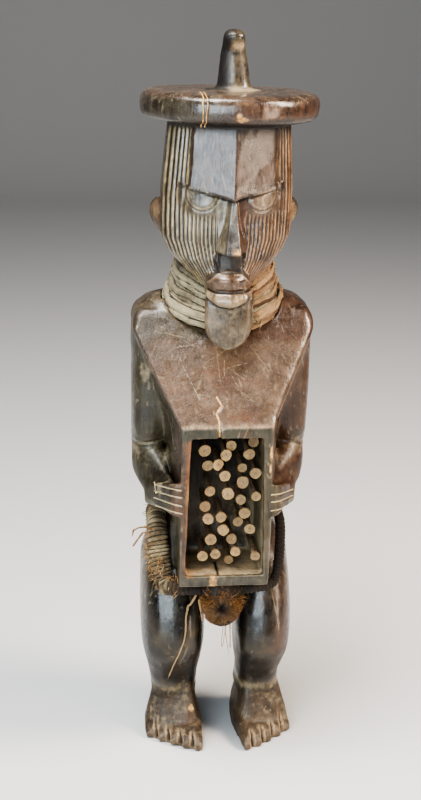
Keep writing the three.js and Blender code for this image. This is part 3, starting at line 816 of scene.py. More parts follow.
def cutEyes():
    # half-moon lids with a fine rim, tucked under the brow
    for side in (-1, 1):
        across = x * side - carving["eyeAcross"]
        away = np.hypot(across / carving["eyeHalfWidth"], (z - carving["eyeHigh"]) / carving["eyeDrop"])
        inSocket = (z > 506) & (z < browAt(x) + 0.5) & (y < -38) & (y > -70) & (np.abs(across) < 17)
        share = inSocket * (normal[:, 1] < -0.2)
        lid = share * (1.0 - ramp(away, 0.84, 1.0))
        push[:] += 0.9 * lid
        push[:] -= share * 0.8 * near(away, 1.15, 0.09)
        # painted light: the left eye's surround and lid are painted cool and pale as under cool light, the
        # right ones warm and darker
        paint(share * ramp(away, 1.7, 1.1), (0.12, 0.098, 0.062) if side < 0 else (0.10, 0.062, 0.04), 0.8)
        paint(lid, (0.125, 0.118, 0.098) if side < 0 else (0.13, 0.09, 0.06))
        raiseMask("dust", share * ramp(away, 1.7, 1.1) * 0.25)
        paint(share * near(away, 0.99, 0.05), (0.37, 0.31, 0.20) if side < 0 else (0.30, 0.20, 0.12))
        # painted shade in the groove outside the rim
        raiseMask("grime", share * 0.45 * near(away, 1.16, 0.06))
        skipDust[:] = np.maximum(skipDust, share)


def cutBrow():
    rise = carving["browRise"]
    low = carving["browLine"]
    path = [(-47, low + 33 * rise), (-33, low + 33 * rise - 1.0), (0, low - 1.0),
            (38, low + 30 * rise - 1.0), (46, low + 14 * rise)]
    # the dark in this cut is a painted shadow under the brow's overhang
    groove(path, 1.7, 1.3, (-84, -34), grime=0.7)
    facet = (z > browAt(x)) & (z < 584) & (np.abs(x) < 37) & (y < -55)
    push[:] += facet * 0.4 * near(z, browAt(x) + 2.0, 2.0)
    skipDust[:] = np.maximum(skipDust, facet)


def cutMouth():
    shift, line = carving["mouthShift"], carving["mouthLine"]
    across = np.abs(x - shift)
    front = (y < -58) & (normal[:, 1] < 0.4)
    arch = 464.0 - 15.0 * np.clip(across / 20.8, 0.0, 1.0) ** 2.3
    upper = front & (z > line) & (z < 467) & (across < 21)
    inLip = upper * ramp(arch - z, -0.6, 0.9)
    paint(inLip, (0.115, 0.07, 0.044))
    push[:] += inLip * 0.9 * near(z, line + 2.4, 1.5)
    push[:] -= inLip * 0.5 * near(z, line + 6.5, 2.2)
    edge = upper * near(z, arch, 1.0)
    push[:] += edge * 0.45
    raiseMask("worn", edge * 0.8)
    above = [(shift + step, 465.8 - 15.0 * (abs(step) / 20.8) ** 2.3)
             for step in (-19, -15, -10, -5, 0, 5, 10, 15, 19)]
    # painted shade in the groove along the upper lip's outline
    groove(above, 1.5, 1.1, (-86, -58), grime=0.55)
    parting = [(shift - 19.5, line - 0.3), (shift, line - 0.6), (shift + 19.5, line - 0.3)]
    # painted shade in the parting between the lips
    groove(parting, 1.0, 1.5, (-95, -58), taper=False, grime=0.8)
    lower = front & (z < line - 1.0) & (z > 430) & (across < 20.5)
    rim = 433.0 + 9.5 * np.clip(across / 20.0, 0.0, 1.0) ** 2.4
    plate = lower * ramp(z, rim - 0.3, rim + 1.2)
    paint(plate, (0.235, 0.172, 0.108))
    raiseMask("dust", plate * (0.2 + 0.2 * speckle(at, 6.0, 20)))
    push[:] += plate * 0.8 * near(z, rim + 3.0, 2.2)
    under = [(shift + step, 431.6 + 9.5 * (abs(step) / 20.0) ** 2.4)
             for step in (-19, -14, -8, 0, 8, 14, 19)]
    # painted shadow in the groove under the lower lip
    groove(under, 1.6, 1.5, (-90, -60), grime=0.9)
    half = [(18.2, 436), (18.2, 416), (14.4, 403), (6.8, 397.4)]
    beardEdge = [(shift - wide, high) for wide, high in half] + [(shift, 396.4)]
    beardEdge += [(shift + wide, high) for wide, high in reversed(half)]
    groove(beardEdge, 1.2, 0.35, (-90, -66), lip=0.3, taper=False, worn=0.3)
    philtrum = front & (z > 462) & (z < 476.5) & (np.abs(x - shift / 2) < 13.5)
    push[:] -= philtrum * (0.8 + 0.3 * speckle(at, 4.0, 25))
    # the philtrum's recess is painted dark as shade, which also damps its reflection
    paint(philtrum, (0.05, 0.032, 0.021))
    raiseMask("dust", philtrum * (0.3 + 0.25 * speckle(at, 5.0, 26)))
    raiseMask("grime", philtrum * 0.75)
    # the dark in this cut is a painted shadow under the nose
    groove([(-11.5, 476.8), (11.5, 476.8)], 1.7, 1.5, (-92, -60), grime=0.9)
    skipDust[:] = np.maximum(skipDust, (front & (z > 394) & (z < 477) & (across < 22)).astype(float))


def cutNose():
    # a narrow front facet that widens towards the tip; its left side is painted pale, as lit and dusty, and
    # its right side dark, as in shade
    inside = (z > 478.5) & (z < 523) & (y < -58) & (np.abs(x) < 14)
    half = 1.6 + (522 - z) * 0.1
    facet = inside * (np.abs(x) < half + 0.6) * (normal[:, 1] < -0.3)
    paint(inside * (x < -half), (0.17, 0.142, 0.095))
    paint(inside * (x > half), (0.085, 0.047, 0.03))
    # the facet's cool grey stands partly for patina and partly for a painted reflection of the cool front
    # light
    paint(facet, (0.085, 0.08, 0.077))
    # painted shadow line beside the facet's left edge
    raiseMask("grime", inside * near(x, -half - 0.9, 0.7) * 0.55)
    push[:] += facet * 0.45 * near(np.abs(x), half, 0.8)
    raiseMask("raw", near(x, 4.2, 1.7) * near(z, 481.5, 2.2) * inside * 1.2)
    skipDust[:] = np.maximum(skipDust, inside.astype(float))


def cutHands():
    # shallow cuts under the pale lines between the fingers
    for points, _ in fingerLines:
        groove(points, 1.3, 0.7, (-100, -34), lip=0.15, taper=False, tilt=lineTilt)


def cutToes():
    # a V between each two toes, with a pale worn edge on both sides
    for side in (-1, 1):
        for toe in range(4):
            outward = (toe + 0.5) / 4
            across = feet["first"] + feet["spread"] * outward
            ends = [footPoint(side, across, toeTip(outward) + step, 0)[:2] for step in (14, -1)]
            index, gap, along = toLine(ends, 4.5, (-2.0, 42.0), flat=(0, 1))
            top = normal[index, 2] > -0.3
            size = ramp(along, 0.0, 0.45) * top
            push[index] -= 2.9 * np.clip(1.0 - gap / (1.1 + 1.4 * along), 0, 1) * size
            edge = near(gap, 1.0 + 1.2 * along, 0.9) * size
            raiseMask("worn", edge, index)
            paint(edge, (0.40, 0.30, 0.19), index=index)
            # painted shade in the cleft between the toes
            raiseMask("grime", np.clip(1.0 - gap / 1.1, 0, 1) * size, index)
    nails = (z < 13) & (y < -38) & (normal[:, 1] < -0.55)
    paint(nails, (0.12, 0.09, 0.06), 0.5)


def shapeEars():
    # the flaps are hollowed on the face side and paler along the outer rim
    for side in (-1, 1):
        flap = (x * side > 57.5) & (z > 470) & (z < 524) & (np.abs(y) < 20)
        inner = flap * (normal[:, 1] < -0.1)
        hollow = inner * near(x * side, 63, 4.0) * near(z, 502, 9.0)
        push[:] -= hollow * 1.6
        paint(flap, (0.07, 0.045, 0.028))
        paint(hollow, (0.15, 0.105, 0.065))
        raiseMask("worn", inner * ramp(x * side, 65, 69) * 0.6)


def scars():
    # raw chips, the cracks' depth, the elbow creases and tool marks over the feet
    for centre, radii, depth in (
            ((3.4, -79.5, 591.0), (7.0, 7.0, 3.2), 1.2), ((0.8, -79.5, 594.5), (3.2, 6, 3.6), 0.8),
            ((-22.9, -45, 31), (5.0, 9, 5.0), 1.0), ((-19.0, -47, 27), (3.0, 7, 2.2), 0.6),
            ((39.6, -95, 306), (2.6, 5, 9), 0.9), ((38.8, -95, 292), (1.8, 5, 6), 0.7),
            ((27.0, -88, 15), (2.6, 6, 3.4), 0.7)):
        chip = dent(centre, radii, depth)
        raiseMask("raw", ramp(chip + 0.3 * speckle(at, 2.6, 71), 0.2, 0.5) * 0.9)
    for path, width in hatCracks + chestCracks:
        groove(path, width + 1.0, 0.55, (-110, -60), taper=False)
    groove([(-7.2, 329), (-7.0, 317)], 2.2, 1.3, (-110, -84), taper=False, grime=0.3)
    groove([(-81, 295.5), (-66, 297), (-52, 300)], 2.6, 0.6, (-48, 0), lip=0.5, dust=0.6)
    groove([(81, 293), (66, 296), (50, 299)], 2.6, 0.5, (-48, 0), lip=0.4, dust=0.4)
    for centre in (feet["left"], feet["right"]):
        for number in range(7):
            low = 16.0 + number * 4.4
            path = [(centre - 20, low - 3), (centre - 8, low + 3.0),
                    (centre + 9, low + 3.0), (centre + 20, low - 2)]
            groove(path, 1.3, 0.12, (-64, -18), dust=0.3)


def tintRegions():
    large = speckle(at, 34.0, 3)
    middle = speckle(at, 18.0, 4)
    small = speckle(at, 10.0, 5)
    left = ramp(-x, -25, 35)
    wide = np.abs(x)
    hatBottom = carving["hatBottom"]
    onHat = (z > hatBottom - 3) & (np.hypot(x, y) > 20)
    hatTop = onHat & (normal[:, 2] > 0.6)
    # painted light: the hat is painted olive on the left as under cool light and reddish on the right as
    # under warm light, with patches to match
    paint(onHat * left, (0.052, 0.042, 0.03))
    paint(onHat * (1 - left), (0.07, 0.038, 0.024))
    paint(onHat * ramp(middle, 0.2, 0.8) * (1 - left), (0.12, 0.062, 0.03), 0.7)
    paint(onHat * ramp(small + middle, 0.5, 1.2) * left, (0.095, 0.078, 0.052), 0.6)
    # painted shade along the hat's lower edge
    paint(onHat & (z < hatBottom + 5), (0.022, 0.015, 0.01), 0.8)
    paint(hatTop, (0.075, 0.05, 0.034))
    raiseMask("dust", hatTop * (0.1 + 0.2 * large + 0.2 * small))
    raiseMask("dust", hatTop * near(np.hypot(x - 3, y + 2), 19, 5.0) * 1.1)
    knob = (z > 609) & (np.hypot(x, y) < 24)
    paint(knob, (0.085, 0.068, 0.042))
    # painted shade: the knob's left side is painted dark, as in shadow, which also damps its reflection
    paint(knob * ramp(-x, 1, 7), (0.026, 0.02, 0.015))
    paint(knob * ramp(small + 0.5 * middle, 0.1, 0.7), (0.028, 0.021, 0.014), 0.85)
    raiseMask("grime", knob * ramp(-x, -1, 5) * 0.9)
    raiseMask("dust", knob * (0.16 + 0.25 * small + 0.7 * (1 - ramp(z, 610, 618))))
    paleSpot = near(x, 3.2, 6.0) * near(z, 648.5, 3.3) * (y < -12)
    paint(paleSpot, (0.42, 0.31, 0.2), 1.3)
    # painted shadow under the overhanging tip of the knob
    raiseMask("grime", near(x, 2, 8.0) * near(z, 641.8, 1.8) * (y < -9) * 0.9)
    head = (z > 436) & (z < 584)
    paint(head, (0.055, 0.035, 0.023))
    # painted light: the head's left side is painted olive, as under cool light
    paint(head * left, (0.062, 0.05, 0.032), 0.6)
    paint((z > 516) & (z < 584) & (wide < 39) & (y < -54), (0.052, 0.032, 0.024))
    # painted shadow that the hat casts on the brow, deeper on the right
    underHat = near(z, 584, 4.5 + 4.0 * ramp(x, -10, 30)) * (z < 587) * (y < 0)
    raiseMask("grime", underHat * 0.85)
    beard = (z < 434) & (z > 392) & (y < -60)
    paint(beard, (0.088, 0.066, 0.043))
    raiseMask("dust", beard * (0.26 + 0.22 * small))
    chest = (z > 322) & (z < 426) & (y < chestDepth(z) + 12) & (y > chestDepth(z) - 10) & (y < -24)
    paint(chest, (0.098, 0.063, 0.041))
    paint(chest * ramp(middle + 0.5 * large, 0.2, 1.0), (0.06, 0.032, 0.022), 0.7)
    raiseMask("dust", chest * (0.04 + 0.1 * large) * ramp(z, 340, 410))
    # painted shade on the chest's upper left, which damps the front light's reflection there
    raiseMask("grime", chest * (1 - ramp(x, -76, -50)) * ramp(z, 360, 395) * 0.35)
    # painted highlight: a pale line along the chest's lower edge, where its rim catches the top light
    raiseMask("worn", chest * near(z, 330.5, 1.3) * (wide < 41) * 0.75)
    shoulders = (z > 396) & (z < 440) & (np.hypot(x, y) > 34) & (y > -52)
    # painted light: the left shoulder is painted olive as under cool light and the right reddish as under
    # warm light; only the left one gets dust
    paint(shoulders * left, (0.07, 0.052, 0.033))
    paint(shoulders * (1 - left), (0.068, 0.036, 0.022))
    raiseMask("dust", shoulders * left * (0.25 + 0.3 * small))
    arms = (z > 232) & (z < 408) & (wide > 44) & ~chest
    # painted light: the left arm is painted greenish grey as under cool light and the right reddish as
    # under warm light; the left gets a little more dust
    paint(arms * (x < 0), (0.038, 0.033, 0.018), 0.95)
    paint(arms * (x > 0), (0.050, 0.023, 0.010), 0.95)
    paint(arms * ramp(middle + 0.6 * small, 0.1, 0.9), (0.017, 0.012, 0.007), 0.75)
    raiseMask("dust", arms * ramp(small + large, 0.3, 1.1) * (0.45 + 0.15 * (x < 0)))
    raiseMask("dust", arms * near(z, 288, 11.0) * (0.35 + 0.3 * small))
    lintel = (y < -88) & (z > 316) & (z < 329.5)
    paint(lintel, (0.04, 0.036, 0.022))
    stile = (y < -91) & (z < 318) & (z > 176) & (wide > 26)
    paint(stile & (x < 0), (0.07, 0.041, 0.025))
    paint(stile & (x > 0), (0.058, 0.046, 0.027))
    paint(stile * ramp(small, 0.1, 0.8), (0.035, 0.025, 0.017), 0.7)
    rail = (y < -91) & (z < 192)
    paint(rail, (0.045, 0.040, 0.026))
    raiseMask("grime", rail * ramp(small, 0.3, 0.9) * 0.6)
    inside = (y > -92) & (y < -30) & (wide < 36.5) & (z > 187) & (z < 324)
    paint(inside, (0.075, 0.054, 0.032))
    # painted shade at the top of the box's inside, under the lintel, over wood that is dark there too
    raiseMask("grime", inside * ramp(z, 235, 300) * (x < 30) * 0.85)
    # the inner right wall is painted paler towards the bottom
    low = 1.0 - ramp(z, 200, 300)
    paint(inside * (x > 26) * (0.35 + 0.6 * low), (0.17, 0.155, 0.10))
    raiseMask("dust", inside * (x > 28) * (0.25 + 0.4 * low))
    raiseMask("dust", inside * (x < -28) * 0.25)
    floor = inside & (normal[:, 2] > 0.5)
    paint(floor, (0.28, 0.215, 0.135))
    raiseMask("dust", floor * (0.6 + 0.3 * small))
    groove([(-5.6, 191.5), (-4.8, 191.0)], 1.1, 0.8, (-92, -62), taper=False, grime=1.0)
    railCrack = (x > -12.4) & (x < -7.6) & (y < -91) & (z > 177) & (z < 192.5)
    raiseMask("raw", railCrack * (0.8 + 0.2 * small))
    chamfer = near(x, -34.0 - (z - 320) * 0.022, 2.4) * (y < -80) * (z > 190) * (z < 319)
    paint(chamfer, (0.16, 0.07, 0.03))
    raiseMask("raw", chamfer * ramp(small + 0.5 * middle, 0.0, 0.9) * 0.6)
    sideWall = (wide > 38) & (y > -92) & (y < -40) & (z > 178) & (z < 250)
    paint(sideWall, (0.095, 0.088, 0.058))
    legs = (z < 186) & (y > -88) & ~inside
    paint(legs, (0.018, 0.013, 0.007), 0.97)
    paint(legs * ramp(large + 0.6 * small, 0.05, 0.7), (0.055, 0.041, 0.019), 0.85)
    paint(legs * ramp(middle - 0.4 * large, 0.2, 0.8), (0.006, 0.005, 0.0035), 0.85)
    # painted light: the outer side of the right leg is painted reddish, as under warm light
    paint(legs * ramp(x, 44, 62), (0.062, 0.032, 0.02), 0.75)
    raiseMask("dust", legs * ramp(middle + 0.7 * small, 0.6, 1.25) * 0.4)
    # painted shade: the legs are painted darker on the lower shins, fading towards the knees, as the light
    # falls off downwards
    raiseMask("grime", legs * ramp(z, 52, 62) * (1 - ramp(z, 75, 120)) * 0.5)
    ankle = near(z, 49, 5.5)
    paint(ankle, (0.115, 0.092, 0.058), 0.8)
    raiseMask("dust", ankle * (0.45 + 0.3 * small))
    under = near(x, -24, 12.0) * near(z, 163, 7.0) * (y < -30)
    raiseMask("dust", under * 0.75)
    onFeet = (z < 43) & (normal[:, 2] > 0.2)
    paint(z < 43, (0.062, 0.043, 0.026))
    paint((z < 43) * ramp(middle + 0.5 * small, 0.1, 0.8), (0.026, 0.017, 0.011), 0.85)
    raiseMask("dust", onFeet * (0.22 + 0.3 * small))


def weather():
    # slight waves of the hand tool, then hollows gather dust and edges are rubbed pale
    push[:] += 0.28 * speckle(at, 15.0, 11) + 0.13 * speckle(at, 5.0, 12)
    moved = readPoints(skinMesh) + normal * (push / 1000.0)[:, None]
    writePoints(skinMesh, moved)
    bulge = np.sum((moved - relaxed(moved, edges, 12)) * normal, axis=1) * 1000.0
    hollow = ramp(-bulge, 0.15, 0.8)
    edge = ramp(bulge, 0.16, 0.65)
    patchy = np.clip(0.5 + 0.7 * speckle(at, 8.0, 13), 0.0, 1.0)
    handled = (z < 44) | ((z > 176) & (z < 330) & (y < -50))
    raiseMask("dust", hollow * 0.5 * (1.0 - skipDust))
    raiseMask("worn", edge * np.where(handled, 0.6, 0.22) * patchy * (1.0 - 0.8 * skipDust))


tintRegions()
cutRidges()
cutEyes()
cutBrow()
cutNose()
cutMouth()
cutHands()
cutToes()
shapeEars()
scars()
weather()
print("figure carved")


def thinOut():
    # fewer triangles where the wood is plain, then the masks are carried over from the dense skin
    dense = readPoints(skinMesh)
    ratio = min(1.0, carving["triangles"] / (len(skinMesh.polygons) * 2))
    applied(figureCarved, "DECIMATE", decimate_type="COLLAPSE", ratio=ratio, use_collapse_triangulate=True)
    tree = KDTree(len(dense))
    for number, point in enumerate(dense):
        tree.insert(point, number)
    tree.balance()
    source = np.array([tree.find(vertex.co)[1] for vertex in figureCarved.data.vertices])
    for name, values in masks.items():
        storeMask(figureCarved.data, name, values[source])
    storeTint(figureCarved.data, "tint", tint[source])


thinOut()
for material in carvedWoods.values():
    figureCarved.data.materials.append(material)
for face in figureCarved.data.polygons:
    face.material_index = sum(face.center.z * 1000.0 > height for height in carvedWoods) - 1
smooth(figureCarved)
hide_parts("figure")
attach(figureCarved, "root")
print("figure finished", len(figureCarved.data.polygons), "triangles")


# Wound and bound pieces: a flat grid is wrapped into a tube, its seam merged and its ends closed
def tube(name, steps, sides, shape, ring=False):
    bpy.ops.mesh.primitive_grid_add(x_subdivisions=steps, y_subdivisions=sides, size=1.0)
    obj = bpy.context.object
    obj.name = name
    obj.data.name = name
    flat = readPoints(obj.data) + 0.5
    writePoints(obj.data, leaning(shape(flat[:, 0], flat[:, 1])))
    merged(obj, 0.00001)
    if not ring:
        edited(obj, (bpy.ops.mesh.fill_holes, {"sides": 0}))
    return smooth(edited(obj, facesOut))


def makeClothLook(name, pale, deep, weave, gloss=0.9):
    # twisted plant fibre: threads run along the piece's own UV map, each strip has its own tone
    material, tree, shader, place = newMaterial(
        name, Roughness=gloss, Sheen_Weight=0.04, Sheen_Roughness=0.6)
    dark = (0.022, 0.013, 0.008, 1.0)
    uv = tree.nodes.new("ShaderNodeTexCoord").outputs["UV"]
    threads = useGroup(tree, grainGroup, Vector=uv, Fineness=weave[0], Stretch=weave[1])
    blotch = noiseOn(tree, place, 70.0, 5.0, 0.65)
    patch = noiseOn(tree, place, 300.0, 4.0, 0.7)
    uneven = times(tree, math2(tree, "SUBTRACT", blotch, 0.5), 1.3)
    tone = math2(tree, "ADD", maskOf(tree, "tone"), uneven)
    colour = mixed(tree, between(tree, tone, 0.15, 0.85), deep, pale)
    colour = laidOver(tree, colour, threads["Fibre"], 0.55, filtered(tree, colour, (1.7, 1.6, 1.5, 1.0)))
    colour = laidOver(tree, colour, threads["Pore"], 0.7, dark)
    colour = laidOver(tree, colour, between(tree, patch, 0.55, 0.72), 0.6, deep)
    # the deep mask paints shade into the hollows between rolls, strips and windings, over the neck's core
    # and over the hip roll's thin part
    colour = mixed(tree, maskOf(tree, "deep"), colour, dark)
    tree.links.new(colour, shader.inputs["Base Color"])
    height = math2(tree, "ADD", threads["Fibre"], times(tree, patch, 0.8))
    roughen(tree, shader, height, 0.9, 0.0006)
    return material


# Loose fibres: one tapering hair is modelled once and laid along every path
hairSegments = 4
alongHair = np.linspace(0.0, 1.0, hairSegments + 1)


def modelHair():
    bpy.ops.mesh.primitive_cylinder_add(vertices=3, radius=1.0, depth=1.0, location=(0.0, 0.0, 0.5))
    return freeze(sliced(bpy.context.object, 2, [cut / hairSegments for cut in range(1, hairSegments)]))


def layHairs(name, paths, widths):
    # paths: the bench points of each hair; widths: half-width at its root
    hair = modelHair()
    model = readPoints(hair.data)
    faces = [list(polygon.vertices) for polygon in hair.data.polygons]
    level = np.rint(model[:, 2] * hairSegments).astype(int)
    paths = np.asarray(paths, dtype=float)
    ahead = np.gradient(paths, axis=1)
    ahead /= np.maximum(np.linalg.norm(ahead, axis=2), 1e-6)[:, :, None]
    side = np.cross(ahead, np.array([0.31, 0.17, 0.93]))
    side /= np.maximum(np.linalg.norm(side, axis=2), 1e-6)[:, :, None]
    other = np.cross(ahead, side)
    taper = 1.0 - 0.75 * (np.arange(hairSegments + 1) / hairSegments) ** 1.5
    width = np.asarray(widths)[:, None] * taper[None, :]
    points = paths[:, level] + side[:, level] * (model[:, 0] * width[:, level])[:, :, None]
    points = points + other[:, level] * (model[:, 1] * width[:, level])[:, :, None]
    amount = len(model)
    every = [[corner + number * amount for corner in face]
             for number in range(len(paths)) for face in faces]
    mesh = bpy.data.meshes.new(name)
    mesh.from_pydata(leaning(points.reshape(-1, 3)).tolist(), [], every)
    mesh.update()
    storeMask(mesh, "tone", np.repeat(dice.random(len(paths)), amount))
    storeMask(mesh, "tip", np.tile(level / hairSegments, len(paths)))
    mesh.uv_layers.new(name="UVMap")
    obj = bpy.data.objects.new(name, mesh)
    bpy.context.collection.objects.link(obj)
    bpy.data.objects.remove(hair)
    return edited(obj, facesOut)


def curled(start, first, second, turned, length):
    # a path that sets out one way and turns towards a second
    share = alongHair[None, :, None]
    way = first[:, None, :] * share + (second - first)[:, None, :] * share ** 2 * turned
    return start[:, None, :] + way * length[:, None, None]


def makeHairLook(name, dark, middle, bright):
    material, tree, shader = newMaterial(name, Roughness=0.62)[:3]
    tone = maskOf(tree, "tone")
    colour = mixed(tree, between(tree, tone, 0.0, 0.6), dark, middle)
    colour = mixed(tree, between(tree, tone, 0.55, 1.0), colour, bright)
    colour = laidOver(tree, colour, maskOf(tree, "tip"), 0.5, bright)
    tree.links.new(colour, shader.inputs["Base Color"])
    return material


# Neck wrap: rolls of twisted cloth, each wider than the one above, and narrow strips on the right.
# A roll is (distance below the top edge, half-height, half-thickness, outer reach).
neck = {
    "topBack": 472.0, "frontDrop": 18.0, "inner": 35.0,
    "rolls": ((4.5, 6.6, 6.0, 8.6), (14.5, 7.0, 6.5, 11.6),
              (25.5, 7.4, 7.5, 14.6), (37.2, 9.2, 10.0, 20.2)),
    "tones": (0.45, 0.7, 0.5, 0.75), "high": 45.0,
    "steps": 260, "sides": 48, "lobes": 6, "twists": 3, "lobeDepth": 2.0,
    "narrowCount": 12, "narrowHalf": 2.7, "narrowThick": 1.3, "frays": 240,
}


def aroundNeck(angle, out, down):
    # angle 0 is the front and runs to +X; down is measured from the wrap's top edge
    frontness = 0.5 + 0.5 * np.cos(angle)
    radius = neck["inner"] + out
    top = neck["topBack"] - neck["frontDrop"] * frontness ** 2
    high = top - down * (1.0 + 0.1 * frontness)
    return np.stack([np.sin(angle) * radius, -np.cos(angle) * (radius + 0.8), high], axis=1)


def neckReach(down):
    # the outline of the rolls, as the narrow strips lie on it
    best = np.zeros_like(down)
    for middle, high, thick, outer in neck["rolls"]:
        inside = np.clip(1.0 - ((down - middle) / high) ** 2, 0.0, 1.0)
        best = np.maximum(best, np.where(inside > 0, outer - thick + thick * np.sqrt(inside), 0.0))
    return best


def neckRoll(number):
    middle, high, thick, outer = neck["rolls"][number]

    def shape(u, v):
        angle = u * 2.0 * math.pi
        around = v * 2.0 * math.pi
        ring = np.stack([np.sin(angle) * 40, np.cos(angle) * 40, np.full(len(u), number * 50.0)], axis=1)
        loose = speckle(ring, 17.0, 21)
        slack = 0.94 + 0.14 * speckle(ring, 24.0, 22)
        twist = around * neck["lobes"] + angle * neck["twists"] + 1.6 * speckle(ring, 14.0, 23)
        crease = neck["lobeDepth"] * (np.abs(np.cos(twist / 2.0)) ** 0.7 - 0.75)
        crease = crease + 0.3 * np.cos(twist * 3.0 + loose)
        crease = crease + 0.25 * speckle(ring + around[:, None] * 6.0, 3.0, 24)
        outward = np.cos(around) * (thick * slack + crease)
        upward = np.sin(around) * (high * slack + crease)
        return aroundNeck(angle, outer - thick + 0.7 * loose + outward, middle + 0.8 * loose - upward)

    roll = tube("neckRoll%d" % number, neck["steps"], neck["sides"], shape, ring=True)
    shadeHollows(roll, 6, 0.0, 0.34)
    storeEven(roll, tone=neck["tones"][number])
    return roll


def narrowStrip(number):
    start = 0.035 + 0.05 * dice.random()
    end = 0.27 + 0.13 * dice.random()
    down = 0.5 + number * 43.5 / (neck["narrowCount"] - 1)
    seed = 40 + number
    width = neck["narrowHalf"] * (0.75 + 0.5 * dice.random())
    slope = dice.normal() * 2.2

    def shape(u, v):
        angle = (start + (end - start) * u) * 2.0 * math.pi
        around = v * 2.0 * math.pi
        drift = 1.5 * ripple(u * 60.0, 12.0, seed, seed * 31.0) + slope * (u - 0.5)
        finish = np.clip(np.minimum(u, 1.0 - u) * 9.0, 0.1, 1.0)
        twist = 0.5 * ripple(u * 60.0, 20.0, seed + 9, seed * 31.0)
        ridges = 0.3 * np.cos(around * 4.0 + 3.0 * drift)
        here = np.clip(down + drift, 0.0, neck["high"])
        outward = (neck["narrowThick"] + ridges) * np.cos(around + twist) * finish
        upward = (width + ridges) * np.sin(around + twist) * finish
        return aroundNeck(angle, np.maximum(neckReach(here), 7.0) + 0.3 * drift + outward, here - upward)

    strip = tube("narrowStrip%02d" % number, 90, 14, shape)
    shadeHollows(strip, 4, 0.0, 0.24)
    storeEven(strip, tone=dice.random())
    return strip


def shadeHollows(obj, reach=14, low=0.1, high=0.9):
    # painted shade for the deep places between rolls and strips, from the curvature of the mesh
    points = readPoints(obj.data)
    even = relaxed(points, readEdges(obj.data), reach)
    bulge = np.sum((points - even) * readPoints(obj.data, "normal"), axis=1) * 1000.0
    storeMask(obj.data, "deep", ramp(-bulge, low, high))


def frayedEnds():
    # loose threads that stand off the narrow strips at the right and between the rolls
    number = neck["frays"]
    angle = (0.04 + 0.36 * dice.random(number) ** 1.2) * 2.0 * math.pi
    down = neck["high"] * dice.random(number)
    run = dice.normal(size=number) * 0.16
    drop = dice.normal(size=number) * 4.0
    lift = 0.8 + 1.8 * dice.random(number)
    paths = [aroundNeck(angle + run * step, np.maximum(neckReach(down), 7.0) + 1.0 + lift * step ** 1.5,
                        np.clip(down + drop * step, 0.0, neck["high"])) for step in alongHair]
    return layHairs("neckFrays", np.stack(paths, axis=1), 0.22 + 0.2 * dice.random(number))


def makeNeckWrap():
    rolls = [neckRoll(number) for number in range(len(neck["rolls"]))]
    core = copyOfNode("neck_wrap", "neckCore")
    points = upright(readPoints(core.data))
    flat = np.hypot(points[:, 0], points[:, 1])[:, None]
    shrink = np.where(flat > 36.0, (35.0 + (flat - 35.0) * 0.72) / np.maximum(flat, 1.0), 1.0)
    points[:, :2] *= shrink
    writePoints(core.data, leaning(points))
    # the core that shows in the gaps between the rolls is painted almost black, as shade
    storeEven(core, deep=0.9, tone=0.2)
    cloth = makeClothLook("woundCloth", (0.33, 0.28, 0.18, 1.0), (0.075, 0.056, 0.033, 1.0),
                          (90.0, (0.22, 1.0, 1.0)))
    bark = makeClothLook("barkStrip", (0.38, 0.25, 0.135, 1.0), (0.12, 0.06, 0.03, 1.0),
                         (60.0, (0.2, 1.0, 1.0)))
    strips = [narrowStrip(number) for number in range(neck["narrowCount"])]
    for piece in rolls + [core]:
        piece.data.materials.append(cloth)
    for piece in strips:
        piece.data.materials.append(bark)
    frays = frayedEnds()
    frays.data.materials.append(makeHairLook(
        "barkThreads", (0.14, 0.08, 0.04, 1.0), (0.33, 0.22, 0.12, 1.0), (0.50, 0.38, 0.23, 1.0)))
    wrap = joinAs("neckWrap", rolls + [core] + strips + [frays])
    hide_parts("neck_wrap")
    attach(wrap, "root")
    return wrap


neckWrap = makeNeckWrap()
print("neck wrap", len(neckWrap.data.polygons))

# Hip roll: a padded ring bound with fine cord, thick at the left and tucked in elsewhere
hip = {
    "halfWidth": 57.5, "front": 78.0, "back": 43.0, "widest": -34.0, "square": 2.7, "high": 224.0,
    "drop": 54.0, "thin": 4.4, "thick": 9.2, "thickAt": 0.79, "thickSpan": 0.11, "turns": 126,
    "steps": 1512, "sides": 22, "cordDepth": 2.2, "fuzz": 380,
}


def hipRoute(turn):
    # turn 0 is the front and runs to +X
    angle = turn * 2.0 * math.pi
    across = np.sin(angle)
    along = -np.cos(angle)
    power = 2.0 / hip["square"]
    reach = np.where(along < 0, hip["front"] + hip["widest"], hip["back"] - hip["widest"])
    frontness = 0.5 + 0.5 * np.cos(angle)
    drop = ramp(frontness, 0.44, 0.82)
    return np.stack([
        np.sign(across) * np.abs(across) ** power * hip["halfWidth"],
        hip["widest"] + np.sign(along) * np.abs(along) ** power * reach,
        hip["high"] - hip["drop"] * drop], axis=1)


def perTurn(cord, seed):
    # one value from -1 to 1 for each winding, the same all round it
    return ripple(np.floor(cord) * 7.3, 1.7, seed)


